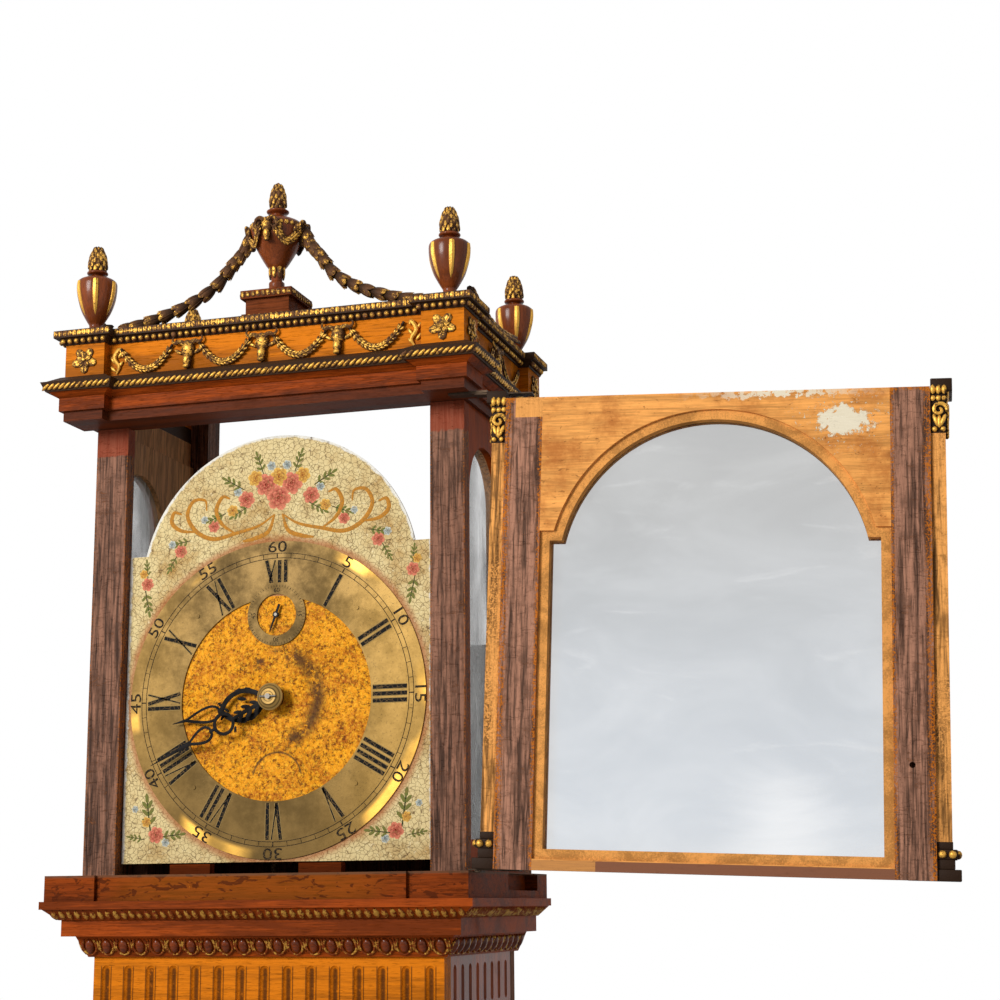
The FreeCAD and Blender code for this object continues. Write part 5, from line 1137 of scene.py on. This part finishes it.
def stroke(bm, first, last, width, thick=0.25):
    """A flat painted stroke from one point to another."""
    first, last = Vector((*first, 0)), Vector((*last, 0))
    turn = Vector((0, 1, 0)).rotation_difference(last - first).to_matrix().to_4x4()
    sizes = Matrix.Diagonal((width, (last - first).length, thick, 1))
    place = Matrix.Translation((first + last) / 2) @ turn @ sizes
    return bmesh.ops.create_cube(bm, size=1, matrix=place)["verts"]


def roman(bm, word, foot, extra):
    """A Roman numeral of thick and thin strokes, cut off below a share of its height."""
    verts = []
    here = -sum(LETTER_WIDTHS[letter] for letter in word) / 2
    for letter in word:
        here += LETTER_WIDTHS[letter] / 2
        for top, slope, width in LETTER_STROKES[letter]:
            low = (here + top + slope * (1 - foot), NUMERAL_HEIGHT * foot)
            verts += stroke(bm, low, (here + top, NUMERAL_HEIGHT), width + extra)
        here += LETTER_WIDTHS[letter] / 2
    return verts


def lettering(bm, word, size):
    """A number in a plain hand, flat and centred."""
    text = bpy.data.curves.new("lettering", "FONT")
    text.body = word
    text.size = size
    text.align_x = "CENTER"
    text.align_y = "CENTER"
    text.extrude = 0.12
    text.resolution_u = 3
    holder = bpy.data.objects.new("lettering", text)
    bpy.context.scene.collection.objects.link(holder)
    bpy.context.view_layer.update()
    mesh = bpy.data.meshes.new_from_object(holder.evaluated_get(bpy.context.evaluated_depsgraph_get()))
    before = set(bm.verts)
    bm.from_mesh(mesh)
    bpy.data.objects.remove(holder)
    bpy.data.meshes.remove(mesh)
    return [vert for vert in bm.verts if vert not in before]


def minute_marks(bm):
    """The minute track and figures of the chapter ring, and the marks and figures of the seconds ring."""
    centre = (0, RING_FACE, HANDS_LEVEL)
    for minute in range(60):
        verts = stroke(bm, (0, TRACK[0]), (0, TRACK[1]), 0.45 if minute % 5 else 1.1)
        move(bm, verts, spot("front", centre, -6 * minute))
    lines = []
    for radius in TRACK:
        low, high = radius - 0.28, radius + 0.28
        lines += turned(bm, [(low, 0), (low, 0.14), (high, 0.14), (high, 0), (low, 0)], (0, 0, 0), 120)
    move(bm, lines, spot("front", centre))
    wider = Matrix.Translation((0, FIGURE_RADIUS, 0.1)) @ Matrix.Diagonal((1.35, 1, 1, 1))
    for five in range(1, 13):
        move(bm, lettering(bm, str(five * 5), 15), spot("front", centre, -30 * five) @ wider)
    centre = (0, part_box("seconds_ring")[0].y * 1000 - 0.04, SECONDS_LEVEL)
    for second in range(60):
        verts = stroke(bm, (0, SECONDS_TRACK[0]), (0, SECONDS_TRACK[1]), 0.3 if second % 5 else 0.6, 0.16)
        move(bm, verts, spot("front", centre, -6 * second))
    inner = Matrix.Translation((0, SECONDS_FIGURE_RADIUS, 0))
    for word, turn in (("60", 0), ("15", -90), ("30", 180), ("45", 90)):
        move(bm, lettering(bm, word, 6), spot("front", centre, turn) @ inner)


# Flowers as across, up and radius, leaves as across, up, lean and length: each on both sides of the dial
SIDE_BLOOMS = {
    "rose": ((13, 1985, 8.5), (33, 1972, 6.5), (118, 1660, 6), (134, 1896, 5), (66, 1948, 4.5),
             (100, 1926, 5)),
    "ochre": ((24, 1992, 6), (47, 1962, 4.5), (128, 1672, 3.8), (138, 1906, 3.5)),
    "blue": ((8, 2003, 3.6), (42, 1980, 3.4), (108, 1653, 3.2), (109, 1933, 3.2), (76, 1955, 3),
             (140, 1684, 2.6)),
}
MIDDLE_BLOOMS = {"rose": [(0, 1972, 9.5)], "ochre": [(0, 1992, 7)], "blue": []}
BLOOM_PAINTS = {"rose": ((222, 132, 104), (128, 30, 24)), "ochre": ((226, 178, 84), (148, 80, 26)),
                "blue": ((202, 204, 190), (70, 92, 100))}
SPRIGS = ((16, 1996, 20, 18), (36, 1982, 60, 20), (30, 1966, 120, 18), (54, 1960, 110, 18),
          (90, 1936, 100, 16), (104, 1922, 150, 15), (136, 1890, -168, 20), (134, 1902, 5, 14),
          (124, 1664, 8, 26), (114, 1658, -84, 20), (130, 1656, 80, 14))
SCROLLS = (((4, 1956), (20, 1946), (44, 1940), (66, 1936), (84, 1944), (94, 1960), (88, 1974), (76, 1974),
            (74, 1964)),
           ((44, 1940), (58, 1950), (64, 1964), (58, 1976), (50, 1974)),
           ((84, 1944), (100, 1946), (110, 1954), (108, 1964), (100, 1962)),
           ((4, 1956), (10, 1940), (24, 1934), (36, 1932)))
SCROLL_PLANE = 9.95


def bloom(bm, x, z, radius, petals=6):
    """A painted flower of three rounds of overlapping petals on the dial."""
    for share, shift, thick in ((1.0, 0.3, 0.2), (0.62, 0.8, 0.34), (0.3, 0.1, 0.46)):
        size = radius * share
        for i in range(petals):
            turn = turn_z(360 * (i + shift) / petals)
            sizes = (size * 0.44, size * 0.48, thick + 0.02 * i)
            verts = ball(bm, turn @ Vector((0, size * 0.56, 0)), sizes, turn, 8, 4)
            lift(bm, verts, lambda co: math.hypot(co.x, co.y) / size * 1.1 - 0.25)
            move(bm, verts, spot("front", (x, DIAL_FACE, z)))


def sprig(bm, x, z, turn, size):
    """Painted leaves in pairs along a stalk."""
    verts = stroke(bm, (0, 0), (0, size), size * 0.05)
    for share, lean in ((0.25, 52), (0.25, -52), (0.55, 44), (0.55, -44), (0.8, 36), (0.8, -36), (1, 0)):
        aim = turn_z(lean)
        middle = Vector((0, size * share, 0)) + aim @ Vector((0, size * 0.16, 0))
        verts += ball(bm, middle, (size * 0.075, size * 0.19, 0.22), aim, 6, 4)
    move(bm, verts, spot("front", (x, DIAL_FACE, z), turn))


class LONGCASE_OT_dial(bpy.types.Operator):
    """Paints the dial and marks its rings."""
    bl_idname = "longcase.dial"
    bl_label = "Dial"

    def execute(self, context):
        look = context.scene.longcase_colours
        cover(dial_finish(look.cream, look.orange), "dial_plate")
        cover(ring_brass(look.brass), "chapter_ring", "seconds_ring")
        for name, extra, level, finish in (
                ("numeral_edges", 1.3, 0.0, paint("numeral_edge", (214, 196, 140), (150, 124, 74))),
                ("numerals", 0.0, 0.12, paint("numeral_black", (40, 38, 36), (16, 15, 15)))):
            bm = start()
            stand = Matrix.Translation((0, NUMERAL_FOOT, level))
            for hour, word in enumerate(HOURS):
                verts = roman(bm, word, 0.0 if hour else 0.36, extra)
                move(bm, verts, spot("front", (0, RING_FACE, HANDS_LEVEL), -30 * hour) @ stand)
            piece(name, bm, "case", "dial_paint", finish)
        bm = start()
        minute_marks(bm)
        piece("minute_marks", bm, "case", "dial_paint", paint("engraving", (62, 50, 34), (30, 24, 18)))

        bm = start()
        for sign in (-1, 1):
            for x, z, lean, size in SPRIGS:
                sprig(bm, sign * x, z, -sign * lean, size)
        piece("painted_leaves", bm, "case", "dial_paint", paint("leaf_green", (110, 112, 54), (44, 54, 26)))
        for kind, colours in BLOOM_PAINTS.items():
            bm = start()
            blooms = [(sign * x, z, radius) for sign in (-1, 1) for x, z, radius in SIDE_BLOOMS[kind]]
            for x, z, radius in blooms + MIDDLE_BLOOMS[kind]:
                bloom(bm, x, z, radius * 1.3)
            piece("painted_" + kind, bm, "case", "dial_paint", paint(kind + "_paint", *colours))
        bm = start()
        for sign in (-1, 1):
            for line in SCROLLS:
                path = flowing([(sign * x, SCROLL_PLANE, z) for x, z in line], 5)
                ends = len(path) + 1
                tube(bm, path, [0.6 + 1.5 * math.sin(math.pi * i / ends) for i in range(1, ends)], 6, 0.7)
        bmesh.ops.scale(bm, vec=(1, 0.2, 1), verts=bm.verts, space=Matrix.Translation((0, -SCROLL_PLANE, 0)))
        brown = paint("scroll_brown", (190, 128, 44), (104, 60, 20))
        piece("painted_scrolls", bm, "case", "dial_paint", brown)
        return {"FINISHED"}


def door_turn():
    """The turn that takes the hood door from shut to where it stands open."""
    hinge = next(joint for joint in frame["joints"] if joint["name"] == "hood_door_hinge")
    pin = Matrix.Translation(Vector(hinge["pos_m"]))
    turn = Matrix.Rotation(math.radians(-hinge["range_deg"][0]), 4, Vector(hinge["axis"]))
    return pin @ turn @ pin.inverted()


def door_finish(name):
    """A finish whose patterns are placed as on the shut door."""
    made = Finish(name)
    back = door_turn().inverted()
    made.place = made.node("ShaderNodeMapping", {}, {"Vector": made.place, "Location": back.translation,
                                                     "Rotation": back.to_euler()})
    return made


def veneer(made, base):
    """Lays polished veneer over the front face of the hood door."""
    grain = made.patches(260, 5, 0.65, 0.35, 0.65, made.stretched(1, 1, 0.08), 0.6)
    front = 1 - made.step(made.axis("Y"), -0.0228, -0.022)
    return made.over(front, made.mix(grain, shade(base, 0.35), shade(base, 0.9)))


def stile_finish(post, bare, pine):
    """Rough bare wood inside with worn edges and a pine patch at the head, veneered in front."""
    made = door_finish("stile_wood")
    across = abs(made.axis("X"))
    edges = made.near(across, 0.151, 0.007) + made.near(across, 0.1845, 0.012)
    rough_wood(made, post, bare, edges + made.near(made.axis("Z"), 2.0375, 0.006))
    veneer(made, bare)
    patch = (made.axis("X") > 0.151) * (made.axis("X") < 0.1755) * (made.axis("Z") > 2.0195)
    grain = made.noise(made.stretched(1, 1, 0.1), 300, 4, 0.7)
    return made.over(patch * (made.axis("Y") > -0.022), made.mix(grain, shade(pine, 0.7), shade(pine, 1.1)))


def rail_finish(pine, post, bare):
    """Pale knotty pine, stained, with a splash of white paint and a redder bottom rail, veneered in front."""
    made = door_finish("rail_pine")
    grain = made.stretched(0.06, 1, 1)
    broad = made.noise(grain, 46, 6, 0.65, 2.5)
    fine = made.noise(grain, 700, 3, 0.6)
    knots = made.cells(made.stretched(0.5, 0.2, 1), 17)
    body = made.mix(made.step(broad * 0.6 + fine * 0.4, 0.36, 0.64), shade(pine, 0.62), shade(pine, 1.15))
    body = made.mix((1 - made.step(knots, 0.04, 0.12)) * 0.8, body, tint(120, 62, 26))
    body = made.mix(made.patches(24, 6, 0.7, 0.44, 0.7) * 0.75, body, tint(172, 98, 42))
    nicks = made.patches(330, 5, 0.8, 0.6, 0.68, made.stretched(0.4, 1, 1), 0.6)
    body = made.mix(nicks * 0.7, body, tint(96, 54, 28))
    low = 1 - made.step(made.axis("Z"), 1.633, 1.6335)
    red = made.mix(made.step(made.axis("X"), 0.096, 0.0962), tint(134, 84, 58), shade(pine, 0.75))
    body = made.mix(low, body, made.mix(fine * 0.6, red, shade(post, 0.8)))

    ragged = made.noise(made.place, 110, 6, 0.75)
    splash = made.distance(made.stretched(1, 0, 1.7), (-0.112, 0, 3.416)) + ragged * 0.06
    white = 1 - made.step(splash, 0.05, 0.052)
    top = made.step(made.axis("Z") + ragged * 0.024, 2.0445, 2.0452) * made.step(ragged, 0.45, 0.5)
    top = top * made.near(made.axis("X"), -0.06, 0.1) * (made.axis("Y") > -0.009)
    drops = made.patches(420, 5, 0.75, 0.6, 0.64) * (1 - made.step(splash, 0.06, 0.09))
    white = white + drops * (1 - white)
    body = made.mix(white + top * (1 - white), body, made.mix(fine, tint(238, 228, 204), tint(222, 208, 178)))
    made.lay(fine - nicks + white * 2, 0.0005, 0.5, Base_Color=body, Roughness=0.6 + fine * 0.15,
             Specular_IOR_Level=0.08)
    return veneer(made, bare)


def pane_finish():
    """Door glass under a grey film: thicker above, bluer below, with wiped smears and a clear spot."""
    made = door_finish("door_glass")
    clouds = made.noise(made.stretched(0.5, 1, 1), 13, 6, 0.6, 0.6)
    smears = made.patches(42, 6, 0.7, 0.56, 0.7, made.stretched(0.22, 1, 1), 1.2)
    specks = made.patches(620, 2, 0.7, 0.7, 0.76)
    high = made.step(made.axis("Z") + clouds * 0.08, 1.68, 2.03)
    body = made.mix(high, tint(30, 96, 136), tint(66, 70, 68))
    body = made.mix(smears * 0.3 + specks * 0.4, body, tint(236, 238, 238))
    clear = 1 - made.step(made.away(-58, 1668) + clouds * 0.06, 0.035, 0.1)
    film = 0.14 + high * 0.11 + made.step(clouds, 0.3, 0.7) * 0.05 - clear * 0.1
    return made.lay(clouds, 0.0003, 0.08, Base_Color=body, Roughness=0.2 + smears * 0.3,
                    Alpha=film + smears * 0.03, Specular_IOR_Level=0.3)


# Steps of the capitals and bases: inner and outer x, the front part's front and back, the side part's inner x
# and back, the bottom of both, and the tops of the front and side parts
BLOCK_STEPS = (
    (164, 197, -38, -23, 184.5, -4, 1997, 2034, 2036),
    (160, 203, -44, -22, 184.8, -3, 2034, 2039, 2045),
    (160, 204, -43, -24, 184.8, -3, 1624.6, 1634, 1634),
    (166, 199, -39, -24, 184.8, -4, 1634, 1642, 1642),
    (163, 201, -41, -23, 184.8, -3.5, 1642, 1650, 1650),
    (164, 197.5, -38.5, -23, 184.8, -4, 1650, 1656.5, 1656.5),
)
BASE_BALLS = 1646


def block(bm, low, high, edge=0.8):
    """A block between two corners with its edges eased."""
    low, high = Vector(low), Vector(high)
    place = Matrix.Translation((low + high) / 2) @ Matrix.Diagonal((*(high - low), 1))
    verts = bmesh.ops.create_cube(bm, size=1, matrix=place)["verts"]
    edges = list({part for vert in verts for part in vert.link_edges})
    bmesh.ops.bevel(bm, geom=edges, offset=edge, segments=2, profile=0.5, affect="EDGES", material=-1)


def capital_face(bm, wide):
    """The carving on one face of a capital: leaf tips over a scroll, a bent leaf and a row of balls."""
    tips = max(3, round(wide / 5))
    for i in range(tips):
        x = -wide / 2 + wide * (i + 0.5) / tips
        ball(bm, (x, 38, 1.4), (wide / tips * 0.55, 4.4, 2.2))
        ball(bm, (x, 30.5, 0.8), (wide / tips * 0.5, 2.6, 1.6))
    balls = max(2, round(wide / 8))
    for i in range(balls):
        ball(bm, (-wide / 2 + wide * (i + 0.5) / balls, 3.4, 1.2), (2.4, 2.4, 2.0), None, 10, 6)
    for sign, side in ((-1, -wide / 4), (1, wide / 4)) if wide > 25 else ((1, 0.5),):
        curl = []
        for i in range(15):
            reach = 6.8 - i * 0.42
            turn = i * 0.55
            curl.append((side + sign * reach * math.cos(turn), 20 + reach * math.sin(turn), 1.5 + i * 0.06))
        tube(bm, curl, tapering(curl, 1.9, 1.2), 7, 0.85)
        for x, y, turn in ((-3, 11, 20), (3, 11, -24), (0, 10, 0)):
            ball(bm, (side + x, y, 1.4), (2.1, 6.2, 1.7), turn_z(turn), 8, 6)


class LONGCASE_OT_door(bpy.types.Operator):
    """Finishes the hood door, its glass, beads and carved pilasters."""
    bl_idname = "longcase.door"
    bl_label = "Hood door"

    def execute(self, context):
        look = context.scene.longcase_colours
        bare = shade(look.satinwood, 0.85)
        cover(stile_finish(look.post, bare, look.pine), "door_stiles")
        cover(rail_finish(look.pine, look.post, bare), "door_rails")
        cover(pane_finish(), "door_glass")
        cover(wood("bead_pine", shade(look.pine, 0.82), "all", 0.6, 0, 0.35, 60), "door_beads")
        made = door_finish("pilaster_wood")
        rough_wood(made, shade(look.pine, 0.62), look.pine, made.step(made.noise(made.place, 9, 3), 0.4, 0.6))
        cover(veneer(made, bare), "door_pilasters")
        cover(metal("strap_iron", tint(74, 60, 48), 0.5, 0.7), "door_hinge_straps", "hood_hinge_leaves")

        ground = start()
        carved = start()
        for face, sign in SIDE_SIGNS:
            for inner, outer, front, behind, edge, back, low, front_top, side_top in BLOCK_STEPS:
                for x, near_y, far_y, top in ((inner, front, behind, front_top), (edge, -24, back, side_top)):
                    left, right = sorted((sign * x, sign * outer))
                    block(ground, (left, near_y, low), (right, far_y, top))
            for place, wide in ((spot("front", (sign * 180.5, -38, CAPITAL_LEVEL)), 32),
                                (spot(face, (sign * 197, -21, CAPITAL_LEVEL)), 30),
                                (spot("back", (sign * 191.5, -4, CAPITAL_LEVEL)), 14)):
                stamp(carved, template((capital_face, wide)), [place])
            balls = [spot("front", (sign * x, -41, BASE_BALLS)) for x in (167, 176, 185, 194)]
            balls += [spot(face, (sign * 201, y, BASE_BALLS)) for y in (-36, -26, -16, -8)]
            balls += [spot("back", (sign * x, -3.5, BASE_BALLS)) for x in (189, 197)]
            stamp(carved, template((ball, (0, 0, 0.6), (3.4, 3.4, 3.0), None, 10, 6)), balls)
        opened = Matrix.Scale(1000, 4) @ door_turn() @ Matrix.Scale(0.001, 4)
        for name, bm, whole, nodes in (("capital_blocks", ground, 0.3, ["door_carvings"]),
                                       ("capital_carving", carved, 0.6, [])):
            move(bm, bm.verts, opened)
            piece(name, bm, "hood_door", "gilt", gilding(name, look.gold, look.ground, whole), *nodes)
        return {"FINISHED"}


# Leaves of the hands as across, up, length and lean, on both sides
MINUTE_LEAVES = ((3.4, 17, 5, 0.6), (3.8, 26, 5.5, 0.5), (3.0, 35, 4.6, 0.4), (10, 44, 3.4, 1.0))
HOUR_LEAVES = ((13, 22, 5, 0.5), (14, 34, 5, -0.4), (6, 30, 5, 0.3), (5.5, 52, 4, 0.9))
HOUR_ARC = ((3, 10), (10, 18), (13.4, 31), (9.4, 44), (0, 53))


def upright(*levels):
    """A straight line up a hand's middle."""
    return [(0, level, 0) for level in levels]


def round_line(level, radius):
    """A closed round line about a point on a hand's middle."""
    turns = [math.tau * i / 24 for i in range(25)]
    return [(radius * math.sin(turn), level - radius * math.cos(turn), 0) for turn in turns]


def pear_line(low, high, wide):
    """A closed pear-shaped line, round below and drawn out to a point above."""
    line = []
    for i in range(29):
        turn = math.tau * i / 28
        across = wide * math.sin(turn) * abs(math.sin(turn / 2)) ** 1.5
        line.append((across, (low + high) / 2 + (high - low) / 2 * math.cos(turn), 0))
    return line


def pierced_hand(bm, lines, leaves, boss, hole):
    """A flat pierced hand pointing up: lines with their thickness, leaves on both sides, and a boss."""
    strands = []
    for path, first, last in lines:
        strands += tube(bm, path, tapering(path, first, last), 6)
    for x, y, size, turn in leaves:
        for sign in (-1, 1):
            lean = Matrix.Rotation(-sign * turn, 4, "Z")
            strands += ball(bm, (sign * x, y, 0), (size * 0.4, size, 1.7), lean, 8, 5)
    bmesh.ops.scale(bm, vec=(1, 1, 0.28), verts=strands)
    turned(bm, [(hole, -0.6), (hole, 0.6), (boss, 0.6), (boss, -0.6), (hole, -0.6)], (0, 0, 0), 28)


class LONGCASE_OT_hands(bpy.types.Operator):
    """Makes the pierced hour and minute hands."""
    bl_idname = "longcase.hands"
    bl_label = "Hands"

    def execute(self, context):
        black = metal("hand_black", tint(20, 17, 16), 0.5, 0.6, 1.0, 0.08)
        cover(black, "seconds_hand")
        minute = [(upright(8, 43), 2.6, 1.6), (round_line(52, 9.4), 1.8, 1.8), (upright(60, 68), 1.8, 1.6),
                  (pear_line(66, 92, 9.5), 1.3, 1.7), (upright(90, 112, 134), 2.6, 0.3)]
        hour = [(flowing([(sign * x, y, 0) for x, y in HOUR_ARC], 5), 2.6, 2.6) for sign in (-1, 1)]
        hour += [(upright(51, 56), 2.4, 1.8), (pear_line(54, 90, 9.8), 1.2, 1.7),
                 (upright(88, 103), 1.9, 0.3)]
        for name, body, lines, leaves, boss, hole, plane, turn in (
                ("minute_hand", "centre", minute, MINUTE_LEAVES, 9, 4, -1.3, 243.5),
                ("hour_hand", "hour", hour, HOUR_LEAVES, 11, 5.6, 3.15, 258)):
            bm = start()
            pierced_hand(bm, lines, leaves, boss, hole)
            move(bm, bm.verts, spot("front", (0, plane, HANDS_LEVEL), -turn))
            piece("pierced_" + name, bm, body, "blued_steel", black, name)
        return {"FINISHED"}


def collet_finish(base):
    """Turned brass with painted shade lines round its middle where grooves would be."""
    made = metal("collet_brass", base, 0.42, 0.3, 0.45, 0.15)
    reach = made.away(0, HANDS_LEVEL)
    groove_shade = sum(made.near(reach, radius, 0.0009) for radius in (0.0106, 0.0078, 0.0046))
    # Painted shade in place of grooves
    return made.over(groove_shade * 0.85, shade(base, 0.2))


def twisted_line(bm, x, low):
    """Three strands twisted round each other, from a weight up to the sprocket."""
    count = round((LINE_TOP - low) / 3)
    rise = (0, 0, (LINE_TOP - low) / count)
    for strand in range(3):
        aside = turn_z(120 * strand) @ Matrix.Translation((1.2, 0, 0))
        place = Matrix.Translation((x, LINE_BACK, low)) @ aside
        verts = bmesh.ops.create_circle(bm, cap_ends=True, segments=6, radius=1.3, matrix=place)["verts"]
        geom = list({part for vert in verts for part in (vert, *vert.link_edges)})
        bmesh.ops.spin(bm, geom=geom, cent=(x, LINE_BACK, 0), axis=(0, 0, 1), dvec=rise, angle=count * 0.8,
                       steps=count)


class LONGCASE_OT_movement(bpy.types.Operator):
    """Finishes the movement, the pendulum and the weights."""
    bl_idname = "longcase.movement"
    bl_label = "Movement"

    def execute(self, context):
        look = context.scene.longcase_colours
        cover(metal("plate_brass", look.brass, 0.3), "front_plate", "back_plate", "back_cock", "great_wheel",
              "rope_sprocket", "minute_wheel", "hour_wheel", "pendulum_bob", "rating_nut")
        cover(collet_finish(shade(look.brass, 0.8)), "cannon_wheel")
        cover(metal("arbor_steel", tint(104, 98, 90), 0.4, 0.5, 0.3, 0.2), "centre_arbor", "third_arbor",
              "escape_arbor", "pallet_anchor", "pendulum_rod")
        cover(metal("weight_iron", tint(70, 70, 72), 0.5), "driving_weight", "counterweight")
        hemp = wood("line_cord", tint(150, 130, 100), "Z", 0.8)
        cover(hemp, "line_over_sprocket")
        for name, body, x, low in (("weight_line", "weight", -30, 760),
                                   ("counter_line", "counter", 30, 1611)):
            bm = start()
            twisted_line(bm, x, low)
            twisted = piece("twisted_" + name, bm, None, "line", hemp, name)
            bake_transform(twisted, "case", body, (x / 1000, 0.081, 1.7287), (x / 1000, 0.081, low / 1000))
        return {"FINISHED"}


STEPS = (LONGCASE_OT_stage, LONGCASE_OT_case, LONGCASE_OT_crown, LONGCASE_OT_hood, LONGCASE_OT_head,
         LONGCASE_OT_urns, LONGCASE_OT_carving, LONGCASE_OT_dial, LONGCASE_OT_door, LONGCASE_OT_hands,
         LONGCASE_OT_movement)


class LONGCASE_PT_panel(bpy.types.Panel):
    """Lists the clock's colours and sizes and the steps that build its looks."""
    bl_idname = "LONGCASE_PT_panel"
    bl_label = "Longcase clock"
    bl_space_type = "VIEW_3D"
    bl_region_type = "UI"
    bl_category = "Clock"

    def draw(self, context):
        for name in LongcaseColours.__annotations__:
            self.layout.prop(context.scene.longcase_colours, name)
        for name in LongcaseSizes.__annotations__:
            self.layout.prop(context.scene.longcase_sizes, name)
        for kind in STEPS:
            self.layout.operator(kind.bl_idname)


def register():
    for kind in (LongcaseColours, LongcaseSizes, *STEPS, LONGCASE_PT_panel):
        bpy.utils.register_class(kind)
    bpy.types.Scene.longcase_colours = PointerProperty(type=LongcaseColours)
    bpy.types.Scene.longcase_sizes = PointerProperty(type=LongcaseSizes)


def unregister():
    del bpy.types.Scene.longcase_sizes
    del bpy.types.Scene.longcase_colours
    for kind in (LONGCASE_PT_panel, *reversed(STEPS), LongcaseSizes, LongcaseColours):
        bpy.utils.unregister_class(kind)


def main():
    register()
    bpy.ops.longcase.stage()
    bpy.ops.longcase.case()
    bpy.ops.longcase.crown()
    bpy.ops.longcase.hood()
    bpy.ops.longcase.head()
    bpy.ops.longcase.urns()
    bpy.ops.longcase.carving()
    bpy.ops.longcase.dial()
    bpy.ops.longcase.door()
    bpy.ops.longcase.hands()
    bpy.ops.longcase.movement()
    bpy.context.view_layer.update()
    for mesh in LUMPS.values():
        bpy.data.meshes.remove(mesh)


if __name__ == "__main__":
    main()
